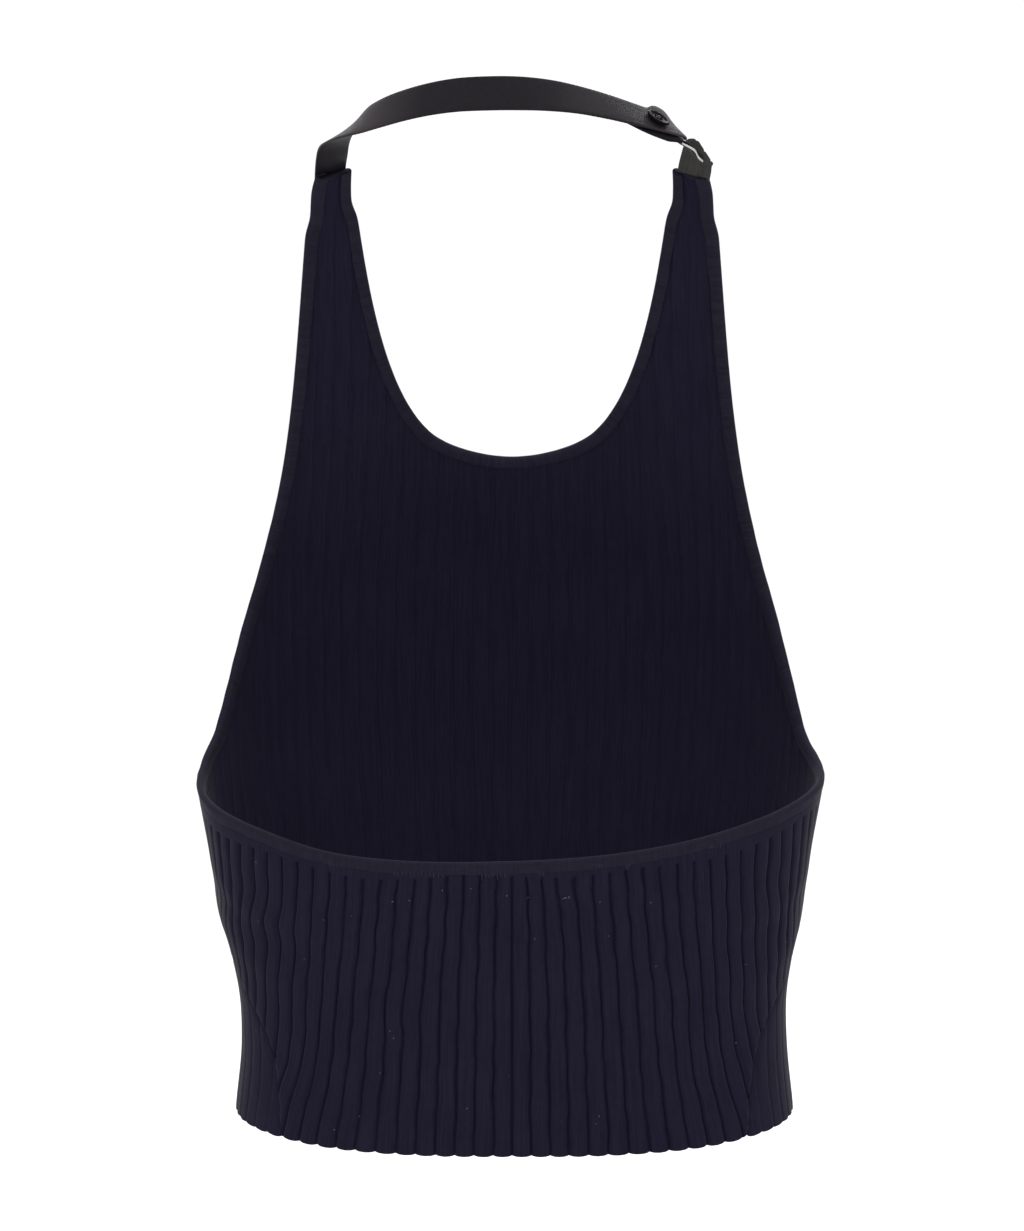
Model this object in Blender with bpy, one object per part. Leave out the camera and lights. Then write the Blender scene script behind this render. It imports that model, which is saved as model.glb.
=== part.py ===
"""Backless halter top in rib knit, built in Blender 4.5 and numpy. Metres, +Z up.

The cloth takes its form from a general figure, given as level sections: the wearer faces -Y, so
+X is the wearer's left. The origin is at the nape, on the inner face of the neck strap.
"""

import math

import bpy
import numpy as np

GAP = 0.0003  # between pieces at seams
KNIT = 0.0018  # rib knit wall
BINDING = 0.0010  # each layer of the folded binding
LEG_GAP = 0.0006  # between a binding's legs and the cloth they hold
STRAP_WALL = 0.0015
LABEL_WALL = 0.0006
BINDING_REACH = 0.0042  # how far a binding's legs reach down the cloth
BACK_SQUARENESS = 2.35  # superellipse exponents of the figure's sections
FRONT_SQUARENESS = 2.15
BACK_COLUMNS = 34
FRONT_COLUMNS = 12  # on each half, closer together toward its edge
EDGE_STEPS = 2  # rows of the front for each row of FRONT_EDGES
SEAM_ROWS = (0.0, 0.022, 0.10, 0.20, 0.30, 0.40, 0.50, 0.60, 0.70, 0.80, 0.90, 1.0)
NOTCH = 0.0020  # where the right side seam is open at the hem

# The figure under the cloth: level, half width, back, front, depth of the widest point, lean.
FIGURE = (
    (-0.480, 0.1262, 0.0190, -0.1760, -0.0740, -0.0012),
    (-0.446, 0.1222, 0.0100, -0.1660, -0.0720, -0.0011),
    (-0.419, 0.1195, 0.0060, -0.1610, -0.0710, -0.0010),
    (-0.398, 0.1196, 0.0065, -0.1600, -0.0700, -0.0005),
    (-0.371, 0.1243, 0.0115, -0.1620, -0.0690, 0.0002),
    (-0.351, 0.1287, 0.0165, -0.1660, -0.0680, 0.0008),
    (-0.331, 0.1314, 0.0215, -0.1720, -0.0670, 0.0009),
    (-0.300, 0.1365, 0.0290, -0.1860, -0.0650, 0.0009),
    (-0.260, 0.1400, 0.0370, -0.1960, -0.0620, 0.0006),
    (-0.220, 0.1420, 0.0430, -0.1900, -0.0580, 0.0003),
    (-0.170, 0.1480, 0.0450, -0.1610, -0.0520, 0.0),
    (-0.120, 0.1530, 0.0390, -0.1310, -0.0460, 0.0),
    (-0.080, 0.1360, 0.0250, -0.1060, -0.0420, 0.0),
    (-0.050, 0.1080, 0.0120, -0.0880, -0.0390, 0.0),
    (-0.030, 0.0840, 0.0040, -0.0760, -0.0380, 0.0),
    (0.000, 0.0620, 0.0000, -0.0680, -0.0380, 0.0),
)
HALF_WIDTH, BACK, FRONT, WIDEST, LEAN = 1, 2, 3, 4, 5

# Top edge of the back: angle from the centre back, level on the left, level on the right.
TOP_EDGE = (
    (0, -0.3254, -0.3254),
    (15, -0.3259, -0.3243),
    (30, -0.3255, -0.3220),
    (45, -0.3229, -0.3174),
    (60, -0.3152, -0.3102),
    (75, -0.3080, -0.3028),
    (88, -0.3024, -0.2987),
    (97, -0.2982, -0.2957),
)
# Hem: angle from the centre back, level.
HEM = (
    (0, -0.4534),
    (30, -0.4534),
    (50, -0.4526),
    (62, -0.4512),
    (75, -0.4494),
    (90, -0.4470),
    (110, -0.4440),
    (140, -0.4415),
    (180, -0.4405),
)
# Side seam: level, angle from the centre back.
SEAM = (
    (-0.4540, 61.4),
    (-0.4400, 63.2),
    (-0.4250, 65.6),
    (-0.4125, 68.4),
    (-0.4000, 73.0),
    (-0.3900, 79.0),
    (-0.3775, 87.0),
    (-0.3600, 93.5),
    (-0.3300, 96.5),
    (-0.2940, 97.0),
)
# Front above the side corner: armhole edge across and level, then centre or neckline edge.
FRONT_EDGES = (
    (0.1342, -0.2925, 0.0, -0.2560),
    (0.1309, -0.2855, 0.0, -0.2420),
    (0.1259, -0.2640, 0.0, -0.2130),
    (0.1196, -0.2380, 0.0, -0.1880),
    (0.1130, -0.2150, 0.0, -0.1668),
    (0.1072, -0.1920, 0.0200, -0.1637),
    (0.1026, -0.1700, 0.0372, -0.1556),
    (0.0992, -0.1490, 0.0488, -0.1400),
    (0.0966, -0.1290, 0.0564, -0.1215),
    (0.0945, -0.1100, 0.0614, -0.1030),
    (0.0926, -0.0920, 0.0649, -0.0850),
    (0.0908, -0.0750, 0.0674, -0.0680),
    (0.0892, -0.0610, 0.0691, -0.0540),
)
NECKLINE_START = 4  # the row of FRONT_EDGES at the lowest point of the neckline
# The narrowed shoulder end of the front, under the strap: the same four columns.
SHOULDER_END = (
    (0.0868, -0.0550, 0.0716, -0.0480),
    (0.0862, -0.0480, 0.0716, -0.0425),
    (0.0850, -0.0402, 0.0714, -0.0370),
)
# Neck strap, right end to left: across, depth, level of its centre line, tilt of its face, width.
NECK_PATH = (
    (-0.0724, -0.0278, -0.0190, 70, 0.0066),
    (-0.0705, -0.0253, -0.0163, 62, 0.0140),
    (-0.0674, -0.0224, -0.0137, 54, 0.0162),
    (-0.0625, -0.0186, -0.0122, 53, 0.0152),
    (-0.0565, -0.0148, -0.0105, 52, 0.0152),
    (-0.0506, -0.0116, -0.0088, 49, 0.0155),
    (-0.0387, -0.0064, -0.0055, 44, 0.0154),
    (-0.0268, -0.0028, -0.0028, 37, 0.0149),
    (-0.0150, -0.0006, -0.0010, 25, 0.0146),
    (0.0000, 0.0002, 0.0000, 12, 0.0146),
    (0.0120, -0.0003, -0.0001, 10, 0.0146),
    (0.0225, -0.0018, -0.0007, 14, 0.0147),
    (0.0327, -0.0045, -0.0022, 21, 0.0150),
    (0.0446, -0.0090, -0.0050, 30, 0.0156),
    (0.0565, -0.0148, -0.0090, 38, 0.0162),
    (0.0630, -0.0192, -0.0118, 45, 0.0166),
    (0.0695, -0.0255, -0.0156, 59, 0.0158),
    (0.0740, -0.0335, -0.0192, 70, 0.0149),
    (0.0766, -0.0420, -0.0222, 76, 0.0146),
    (0.0779, -0.0500, -0.0272, 76, 0.0146),
)
STRAP_STATIONS = 30
LAID_LIFT = KNIT + 0.0010  # the strap's left end over the front's end
# Tab under the strap's right end: across, how far it sits below the strap's centre line, width.
TAB_SHIFT = (
    (0.0480, -0.0026, 0.0118),
    (0.0540, -0.0003, 0.0128),
    (0.0600, 0.0024, 0.0130),
    (0.0660, 0.0044, 0.0126),
    (0.0724, 0.0054, 0.0094),
)
TAB_STATIONS = 7
UNDER_GAP = 0.0008  # between the strap and the tab, which lies a little slack
BUTTON_ACROSS = 0.0608
BUTTON_REACH = 0.0060
# Button outline: radius, height.
BUTTON = (
    (0.0000, 0.0000),
    (0.0044, 0.0000),
    (0.0053, 0.0007),
    (0.0055, 0.0015),
    (0.0052, 0.0022),
    (0.0046, 0.0024),
    (0.0040, 0.0022),
    (0.0034, 0.0014),
    (0.0000, 0.0011),
)
BUTTON_SIDES = 32
# Doubled knit end over the right shoulder, from the back to the front: across, depth and level
# of its neck side, then of its outer side.
FOLD_EDGES = (
    (-0.0750, -0.0335, -0.0200, -0.0862, -0.0335, -0.0306),
    (-0.0750, -0.0370, -0.0197, -0.0862, -0.0370, -0.0302),
    (-0.0748, -0.0425, -0.0202, -0.0862, -0.0420, -0.0306),
    (-0.0742, -0.0480, -0.0222, -0.0862, -0.0468, -0.0322),
    (-0.0735, -0.0535, -0.0255, -0.0861, -0.0512, -0.0346),
    (-0.0726, -0.0590, -0.0300, -0.0858, -0.0555, -0.0372),
    (-0.0719, -0.0645, -0.0355, -0.0854, -0.0600, -0.0394),
)
# Its thickness: share of the way from its neck side to its outer side, height.
FOLD_SHAPE = (
    (0.00, 0.0009),
    (0.10, 0.0026),
    (0.25, 0.0034),
    (0.41, 0.0029),
    (0.60, 0.0022),
    (0.81, 0.0014),
    (1.00, 0.0008),
)
# Where the tab runs on under the fold: across, depth, level, width.
TAB_END = (
    (-0.0790, -0.0430, -0.0271, 0.0070),
    (-0.0791, -0.0380, -0.0266, 0.0070),
    (-0.0787, -0.0335, -0.0265, 0.0070),
    (-0.0768, -0.0300, -0.0248, 0.0070),
)
LABEL_START = 2  # the tab's station where the label begins
LABEL_DROPS = (0.0008, 0.0010, 0.0010, 0.0007)  # of the blank label below the tab's first stations

COLOURS = {
    "knit": (0.013, 0.012, 0.022),
    "binding": (0.014, 0.013, 0.022),
    "strap": (0.040, 0.037, 0.042),
    "button": (0.010, 0.010, 0.012),
    "label": (0.82, 0.82, 0.80),
}


def follow(table, column, at):
    """The table's column at each value of its first column, as a smooth curve through the rows."""
    rows = np.array(table, float)
    x, y = rows[:, 0], rows[:, column]
    slope = np.gradient(y, x)
    at = np.clip(at, x[0], x[-1])
    i = np.clip(np.searchsorted(x, at) - 1, 0, len(x) - 2)
    h = x[i + 1] - x[i]
    t = (at - x[i]) / h
    start = (1 + 2 * t) * y[i] + t * h * slope[i]
    end = (3 - 2 * t) * y[i + 1] + (t - 1) * h * slope[i + 1]
    return (1 - t) ** 2 * start + t**2 * end


def figure(angle, level, out=0.0):
    """Points on the figure at angles in degrees from the centre back, moved out level."""
    turn = np.radians(np.asarray(angle, float))
    level = np.asarray(level, float)
    width = follow(FIGURE, HALF_WIDTH, level) + out
    back, front = follow(FIGURE, BACK, level) + out, follow(FIGURE, FRONT, level) - out
    middle, lean = follow(FIGURE, WIDEST, level), follow(FIGURE, LEAN, level)
    behind = np.cos(turn) > 0
    deep = np.where(behind, back - middle, middle - front)
    power = np.where(behind, BACK_SQUARENESS, FRONT_SQUARENESS)
    across = np.abs(np.sin(turn)) / width
    along = np.abs(np.cos(turn)) / deep
    reach = (across**power + along**power) ** (-1 / power)
    x, y = lean + reach * np.sin(turn), middle + reach * np.cos(turn)
    return np.stack(np.broadcast_arrays(x, y, level), -1)


def outward(angle, level):
    """Unit normals of the figure."""
    angle, level = np.broadcast_arrays(np.asarray(angle, float), np.asarray(level, float))
    round_it = figure(angle + 0.2, level) - figure(angle - 0.2, level)
    up = figure(angle, level + 0.0004) - figure(angle, level - 0.0004)
    normal = np.cross(up, round_it)
    return normal / np.linalg.norm(normal, axis=-1, keepdims=True)


def front_angle(across, level):
    """The angle of the front's point at a distance across from the section's middle."""
    width, front = follow(FIGURE, HALF_WIDTH, level), follow(FIGURE, FRONT, level)
    middle = follow(FIGURE, WIDEST, level)
    share = np.clip(across / width, 0, 1) ** FRONT_SQUARENESS
    deep = (middle - front) * (1 - share) ** (1 / FRONT_SQUARENESS)
    return np.degrees(np.arctan2(across, -deep))


def unit(rows):
    return rows / np.linalg.norm(rows, axis=-1, keepdims=True)


def add(name, points, faces, colour):
    """A named solid from points and faces, turned outward, with its own material."""
    points = np.asarray(points, float)
    volume = 0.0
    for face in faces:
        for i in range(1, len(face) - 1):
            a, b, c = points[face[0]], points[face[i]], points[face[i + 1]]
            volume += float(np.dot(a, np.cross(b, c)))
    if volume < 0:
        faces = [tuple(reversed(face)) for face in faces]
    mesh = bpy.data.meshes.new(name)
    mesh.from_pydata([tuple(p) for p in points], [], faces)
    mesh.update()
    material = bpy.data.materials.new(name)
    material.use_nodes = True
    surface = material.node_tree.nodes["Principled BSDF"]
    surface.inputs["Base Color"].default_value = (*COLOURS[colour], 1.0)
    surface.inputs["Roughness"].default_value = 0.3 if colour in ("button", "strap") else 0.9
    material.diffuse_color = (*COLOURS[colour], 1.0)
    mesh.materials.append(material)
    thing = bpy.data.objects.new(name, mesh)
    bpy.context.scene.collection.objects.link(thing)
    return thing


def grid(rows, columns, start=0):
    """Quads over rows x columns of points."""
    at = start + np.arange(rows * columns).reshape(rows, columns)
    corners = (at[:-1, :-1], at[:-1, 1:], at[1:, 1:], at[1:, :-1])
    return [tuple(int(i) for i in quad) for quad in np.stack(corners, -1).reshape(-1, 4)]


def halved(quads, points, normals):
    """Triangles from quads, each cut along the diagonal that stands further out."""
    triangles = []
    for a, b, c, d in quads:
        if len({a, b, c, d}) < 4:
            continue
        out = normals[a] + normals[c]
        lift = (points[a] + points[c] - points[b] - points[d]) @ out
        pairs = ((a, b, c), (a, c, d)) if lift > 0 else ((a, b, d), (b, c, d))
        triangles.extend(pairs)
    return triangles


def wall(name, angles, levels, quads, colour):
    """A cloth wall on the figure, closed along the sheet's edges."""
    inner, normals = figure(angles, levels), outward(angles, levels)
    faces = halved(quads, inner, normals)
    count = len(inner)
    used = {pair for face in faces for pair in zip(face, face[1:] + face[:1])}
    shut = [(a, b, b + count, a + count) for a, b in sorted(used) if (b, a) not in used]
    below = [tuple(reversed(face)) for face in faces]
    above = [tuple(i + count for i in face) for face in faces]
    points = np.concatenate([inner, inner + normals * KNIT])
    return add(name, points, below + above + shut, colour)


def strip(name, over, under, colour):
    """A solid between two sides, each given as stations x places of points."""
    stations, places = over.shape[:2]
    ring = np.concatenate([over, under[:, ::-1]], 1)
    size = 2 * places
    faces = []
    for a in range(0, (stations - 1) * size, size):
        for i in range(size):
            j = (i + 1) % size
            faces.append((a + i, a + j, a + size + j, a + size + i))
    last = (stations - 1) * size
    for i in range(places - 1):
        quad = (i, i + 1, size - 2 - i, size - 1 - i)
        faces.append(tuple(reversed(quad)))
        faces.append(tuple(last + k for k in quad))
    return add(name, ring.reshape(-1, 3), faces, colour)


def ribbon(name, centres, normals, over, under, colour):
    """A strip along centres, its sides given as (down, out) pairs, for all stations or each."""
    ahead = unit(np.gradient(centres, axis=0))
    normals = unit(normals - ahead * (normals * ahead).sum(1, keepdims=True))
    down = np.cross(normals, ahead)

    def place(side):
        side = np.broadcast_to(side, (len(centres), *np.shape(side)[-2:]))
        shift = side[..., :1] * down[:, None] + side[..., 1:] * normals[:, None]
        return centres[:, None] + shift

    return strip(name, place(np.array(over)), place(np.array(under)), colour)


def seam_points(side, shift):
    """Angle and level of the side seam's rows; shift moves them round, in metres."""
    top_column = 1 if side > 0 else 2
    guess = follow(HEM, 1, 62.0) + np.array(SEAM_ROWS) * 0.156
    for _ in range(8):
        angle = follow(SEAM, 1, guess)
        low, high = follow(HEM, 1, angle), follow(TOP_EDGE, top_column, angle)
        guess = low + np.array(SEAM_ROWS) * (high - low)
    around = np.linalg.norm(figure(angle + 0.5, guess) - figure(angle - 0.5, guess), axis=1)
    shift = np.full(len(guess), shift)
    if side < 0:
        shift[0] *= 1 + NOTCH / GAP
    return side * (angle + shift / around), guess


def top_level(angle):
    left, right = follow(TOP_EDGE, 1, np.abs(angle)), follow(TOP_EDGE, 2, np.abs(angle))
    return np.where(angle > 0, left, right)


def back_sheet():
    """The back: angles and levels as rows x columns, from the right seam to the left."""
    right, _ = seam_points(-1, -GAP)
    left, _ = seam_points(1, -GAP)
    share = np.linspace(0, 1, BACK_COLUMNS + 1)
    angle = right[:, None] + share * (left - right)[:, None]
    low, high = follow(HEM, 1, np.abs(angle)), top_level(angle)
    return angle, low + np.array(SEAM_ROWS)[:, None] * (high - low)


def front_sheet(side):
    """Half of the front: angles and levels as rows x columns, from its edge to the centre."""
    outer_angle, outer_level = seam_points(side, GAP)
    table = np.column_stack([np.arange(len(FRONT_EDGES)), FRONT_EDGES])
    at = np.arange((len(FRONT_EDGES) - 1) * EDGE_STEPS + 1) / EDGE_STEPS
    edges = np.stack([follow(table, i, at) for i in (1, 2, 3, 4)], 1)
    edges[at <= NECKLINE_START, 2] = 0.0
    low_row, above = NECKLINE_START, at >= NECKLINE_START
    table[low_row - 1, 3:] = -table[low_row + 1, 3], table[low_row + 1, 4]  # mirrored, so level
    edges[above, 2:] = np.stack([follow(table, i, at[above]) for i in (3, 4)], 1)
    edges = np.concatenate([edges, SHOULDER_END])
    centre_top = 1.5 * edges[0, 3] - 0.5 * edges[EDGE_STEPS, 3]
    low = follow(HEM, 1, 180.0)
    centre_level = low + np.array(SEAM_ROWS) * (centre_top - low)
    angle_out = np.concatenate([outer_angle * side, front_angle(edges[:, 0], edges[:, 1])])
    level_out = np.concatenate([outer_level, edges[:, 1]])
    angle_in = np.concatenate([np.full(len(SEAM_ROWS), 180.0), front_angle(*edges[:, 2:].T)])
    level_in = np.concatenate([centre_level, edges[:, 3]])
    share = np.linspace(0, 1, FRONT_COLUMNS + 1) ** 1.4
    angle = angle_out[:, None] + share * (angle_in - angle_out)[:, None]
    level = level_out[:, None] + share * (level_in - level_out)[:, None]
    return side * angle, level


def build_panels():
    angle, level = back_sheet()
    wall("back_panel", angle.ravel(), level.ravel(), grid(*angle.shape), "knit")
    halves = [front_sheet(1), front_sheet(-1)]
    rows, columns = halves[0][0].shape
    joined = len(SEAM_ROWS) + NECKLINE_START * EDGE_STEPS + 1  # rows that share a centre point
    size = rows * columns
    centre = {size + row * columns + columns - 1: row * columns + columns - 1
              for row in range(joined)}
    quads = grid(rows, columns)
    for quad in grid(rows, columns, size):
        quads.append(tuple(centre.get(i, i) for i in reversed(quad)))
    kept = sorted({i for quad in quads for i in quad})
    new = {old: k for k, old in enumerate(kept)}
    quads = [tuple(new[i] for i in quad) for quad in quads]
    angles = np.concatenate([half[0].ravel() for half in halves])[kept]
    levels = np.concatenate([half[1].ravel() for half in halves])[kept]
    wall("front_panel", angles, levels, quads, "knit")
    return angle, level, halves


def on_cloth(points, out):
    """Points brought to the figure at their own levels, then moved out along its normals."""
    level = points[..., 2]
    middle, lean = follow(FIGURE, WIDEST, level), follow(FIGURE, LEAN, level)
    angle = np.degrees(np.arctan2(points[..., 0] - lean, points[..., 1] - middle))
    return figure(angle, level) + outward(angle, level) * out


def edging(name, angles, levels):
    """A folded binding over a panel edge: one leg outside, one inside, joined over the edge."""
    edge, normals = figure(angles, levels), outward(angles, levels)
    ahead = unit(np.gradient(edge, axis=0))
    down = unit(np.cross(normals, ahead))
    outside, inside = KNIT + LEG_GAP, -LEG_GAP
    near = edge + down * 0.0002
    low, mid = edge + down * BINDING_REACH, edge + down * BINDING_REACH * 0.5

    def over_edge(up, out):
        return edge - down * up + normals * out

    top, full = LEG_GAP, LEG_GAP + BINDING
    over = (
        on_cloth(low, outside + BINDING),
        on_cloth(mid, outside + BINDING),
        on_cloth(near, outside + BINDING),
        over_edge(full, KNIT * 0.5),
        on_cloth(near, inside - BINDING),
        on_cloth(mid, inside - BINDING),
        on_cloth(low, inside - BINDING),
    )
    under = (
        on_cloth(low, outside),
        on_cloth(mid, outside),
        on_cloth(near, outside),
        over_edge(top, KNIT * 0.5),
        on_cloth(near, inside),
        on_cloth(mid, inside),
        on_cloth(low, inside),
    )
    strip(name, np.stack(over, 1), np.stack(under, 1), "binding")


def build_edgings(angle, level, halves):
    """One binding up the right armhole, across the back and up the left; one round the neck."""
    start = len(SEAM_ROWS) - 1
    stop = start + (len(FRONT_EDGES) - 1) * EDGE_STEPS + 2
    low = start + NECKLINE_START * EDGE_STEPS + 1
    end = stop + len(SHOULDER_END)  # the right end is bound all the way
    (left_angle, left_level), (right_angle, right_level) = halves
    right, left = right_angle[start + 1 : end, 0], left_angle[start + 1 : stop, 0]
    angles = np.concatenate([right[::-1], angle[-1], left])
    right, left = right_level[start + 1 : end, 0], left_level[start + 1 : stop, 0]
    levels = np.concatenate([right[::-1], level[-1], left])
    edging("edge_binding", angles, levels)
    left, right = left_angle[low:stop, -1], right_angle[low + 1 : end, -1] + 360
    angles = np.concatenate([left[::-1], right])
    left, right = left_level[low:stop, -1], right_level[low + 1 : end, -1]
    levels = np.concatenate([left[::-1], right])
    edging("neckline_binding", angles, levels)


def tilted(path, tilt):
    """Normals along a path that tip up from the level by tilt degrees."""
    ahead = unit(np.gradient(path, axis=0))
    out = unit(np.stack([-ahead[:, 1], ahead[:, 0], np.zeros(len(path))], 1))
    up = unit(np.cross(ahead, out))
    lean = np.radians(tilt)[:, None]
    return np.cos(lean) * out + np.sin(lean) * up


def strap_line(start=None, stop=None, count=STRAP_STATIONS):
    """Centres, normals and widths along the neck strap, between two places across it."""
    table = np.array(NECK_PATH)
    steps = np.linalg.norm(np.diff(table[:, :3], axis=0), axis=1)
    along = np.concatenate([[0], np.cumsum(steps)])
    keyed = np.column_stack([along, table])
    ends = np.interp([start or table[0, 0], stop or table[-1, 0]], table[:, 0], along)
    at = np.linspace(*ends, count)
    across, depth, level, tilt, width = (follow(keyed, i, at) for i in range(1, 6))
    path = np.stack([across, depth, level], 1)
    return path, tilted(path, tilt), width


def laid_line():
    """Centres, normals and widths of the strap's left end, laid on the front's end."""
    ends = np.array(SHOULDER_END[::-1])
    mid = (ends[:, :2] + ends[:, 2:]) / 2
    angle, level = front_angle(*mid.T), mid[:, 1]
    normals = outward(angle, level)
    return figure(angle, level) + normals * LAID_LIFT, normals, np.full(len(mid), NECK_PATH[-1][4])


def flat_sides(widths, low, high, shift=0.0):
    """The two sides of a flat ribbon for each station's width and shift."""
    places = np.array([-0.5, -0.17, 0.17, 0.5])
    down = np.atleast_1d(widths)[:, None] * places + np.atleast_1d(shift)[:, None]
    return [np.stack([down, np.full(down.shape, out)], -1) for out in (high, low)]


def build_strap():
    pairs = zip(strap_line(), laid_line())
    centres, normals, widths = (np.concatenate(pair) for pair in pairs)
    ribbon("neck_strap", centres, normals, *flat_sides(widths, 0.0, STRAP_WALL), "strap")
    seat, face, _ = strap_line(-BUTTON_ACROSS, -BUTTON_ACROSS + BUTTON_REACH, 3)
    build_button(seat[0], unit(face[0]))
    build_tab()


def build_tab():
    """The knit tab that the strap buttons to, and the blank label on its lower edge."""
    centres, normals, _ = strap_line(-TAB_SHIFT[-1][0], -TAB_SHIFT[0][0], TAB_STATIONS)
    down = np.cross(normals, unit(np.gradient(centres, axis=0)))
    shift, width = (follow(TAB_SHIFT, i, -centres[:, 0]) for i in (1, 2))
    under = centres + down * shift[:, None] - normals * (UNDER_GAP + KNIT)
    end = np.array(TAB_END)
    neck_side, outer_side = np.array(FOLD_EDGES[0][:3]), np.array(FOLD_EDGES[0][3:])
    end_face = np.tile(np.cross(outer_side - neck_side, (0.0, -1.0, 0.0)), (len(end), 1))
    path, face = np.concatenate([end[:, :3], under]), unit(np.concatenate([end_face, normals]))
    width = np.concatenate([end[:, 3], width])
    ribbon("button_tab", path, face, *flat_sides(width, 0.0, KNIT), "knit")
    held = slice(LABEL_START, LABEL_START + len(LABEL_DROPS))
    down = np.cross(face, unit(np.gradient(path, axis=0)))[held]
    edge = path[held] + down * (width[held, None] / 2 + GAP) + face[held] * KNIT * 0.5
    fall = np.array([0.0, 0.1, -1.0]) * np.array(LABEL_DROPS)[:, None]
    back = np.stack([edge, edge + fall * 0.5, edge + fall], 1)
    away = unit(np.array([-0.3, 1.0, 0.1])) * LABEL_WALL
    strip("blank_label", back + away, back, "label")


def build_button(centre, face):
    seat = centre + face * (STRAP_WALL + GAP)
    side = unit(np.cross(face, (0.0, 0.0, 1.0)))
    up = np.cross(side, face)
    turns = np.arange(BUTTON_SIDES) * 2 * math.pi / BUTTON_SIDES
    rim = np.cos(turns)[:, None] * side + np.sin(turns)[:, None] * up
    points = [seat + face * BUTTON[0][1]]
    for radius, height in BUTTON[1:-1]:
        points.extend(seat + rim * radius + face * height)
    points.append(seat + face * BUTTON[-1][1])
    faces = []
    rings, n = len(BUTTON) - 2, BUTTON_SIDES
    for i in range(n):
        j = (i + 1) % n
        faces.append((0, 1 + j, 1 + i))
        for ring in range(rings - 1):
            a, b = 1 + ring * n, 1 + (ring + 1) * n
            faces.append((a + i, a + j, b + j, b + i))
        top = 1 + (rings - 1) * n
        faces.append((top + i, top + j, len(points) - 1))
    add("button", np.array(points), faces, "button")


def build_fold():
    """The knit's doubled end over the right shoulder, thick on its neck side."""
    table, shape = np.array(FOLD_EDGES), np.array(FOLD_SHAPE)
    neck_side, outer_side = table[:, :3], table[:, 3:]
    ahead = unit(np.gradient(neck_side + outer_side, axis=0))
    up = unit(np.cross(outer_side - neck_side, ahead))
    under = neck_side[:, None] + (outer_side - neck_side)[:, None] * shape[:, :1]
    strip("shoulder_fold", under + up[:, None] * shape[:, 1:], under, "binding")


for thing in list(bpy.data.objects):
    bpy.data.objects.remove(thing, do_unlink=True)
build_edgings(*build_panels())
build_strap()
build_fold()
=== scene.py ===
"""Backless halter top in rib knit: the looks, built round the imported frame.

Metres, +Z up. The wearer faces -Y and +X is the wearer's left. The cloth follows the same general
figure as the frame, with its ribs, creases, soft folds, bindings and stitches at their own size.
"""

import math

import bpy
import mathutils
import numpy as np
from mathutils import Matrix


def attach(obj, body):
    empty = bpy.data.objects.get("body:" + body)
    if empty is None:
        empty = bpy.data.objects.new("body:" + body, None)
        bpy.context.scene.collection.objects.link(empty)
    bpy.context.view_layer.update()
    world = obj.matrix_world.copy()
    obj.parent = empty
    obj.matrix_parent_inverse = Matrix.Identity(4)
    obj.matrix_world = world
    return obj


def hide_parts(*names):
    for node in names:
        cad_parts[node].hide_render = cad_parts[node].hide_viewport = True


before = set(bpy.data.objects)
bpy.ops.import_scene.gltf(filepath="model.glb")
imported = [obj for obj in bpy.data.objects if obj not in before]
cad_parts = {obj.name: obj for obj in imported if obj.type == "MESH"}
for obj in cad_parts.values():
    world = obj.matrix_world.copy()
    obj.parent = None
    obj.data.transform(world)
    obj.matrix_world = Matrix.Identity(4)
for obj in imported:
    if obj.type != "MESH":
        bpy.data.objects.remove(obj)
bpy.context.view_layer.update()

# ---------------------------------------------------------------- sizes

KNIT = 0.0018  # cloth wall in the frame
CROWN = 0.0021  # outer face of a rib's crown, from the figure
GROOVE = 0.00135  # how deep the grooves between the ribs are
GROOVE_HALF = 0.00051  # half width of a groove
SEAM_DIP = 0.0006  # how far the cloth goes in along the side seams
LIP = 0.00012  # how far a rib's edge stands out beside its groove
INSIDE_RIDGE = 0.0009  # how far a groove stands out on the inside
REBATE = 0.00065  # how far the cloth is pressed in under a binding
SCALLOP = 0.0009  # how far the hem drops between two grooves
SEAM_GAP = 0.0001  # between the back and the front at the side seams
NOTCH, NOTCH_HEIGHT = 0.0020, 0.0028  # where the right side seam is open at the hem
STRAP_WALL = 0.0015
BACK_SQUARENESS = 2.35  # superellipse exponents of the figure's sections
FRONT_SQUARENESS = 2.15
# Points across a rib, as shares of it from its groove: of the back, then of the front.
RIB_PLACES = (0.0, 0.035, 0.075, 0.13, 0.25, 0.5, 0.75, 0.87, 0.925, 0.965)
FRONT_PLACES = (0.0, 0.05, 0.11, 0.25, 0.5, 0.75, 0.89, 0.95)
# Rows of points, in runs: first, last, count; as shares of the back's height, then as levels.
BACK_ROWS = ((0, 0.035, 7), (0.047, 0.885, 72), (0.889, 1, 27))
FRONT_ROWS = (
    (-0.4430, -0.4380, 7), (-0.4355, -0.1760, 96), (-0.1742, -0.1500, 20), (-0.1475, -0.0370, 43),
)
FRONT_TOP = -0.0334  # level of the front's last row
CORNER, CORNER_ANGLE = -0.2950, 97.0  # level just over the side seams, and their angle there
ROUND_EDGE = 0.0004  # how far a panel's rim stands out between its faces
EDGE_STEP = 0.0008  # between the points that distances from an edge are measured to
RIB_MEASURE = 0.0076  # width of a rib on the material's map
RIBBON_HALF = 0.007  # half width of the strap or tab there
GROOVE_FADE = 0.0018  # over which a groove of the back deepens from its top
HEM_FADE = 0.0022  # height over which the hem's scallops die out
ROUNDS = 7  # of finding each point's level and angle from each other

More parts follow.
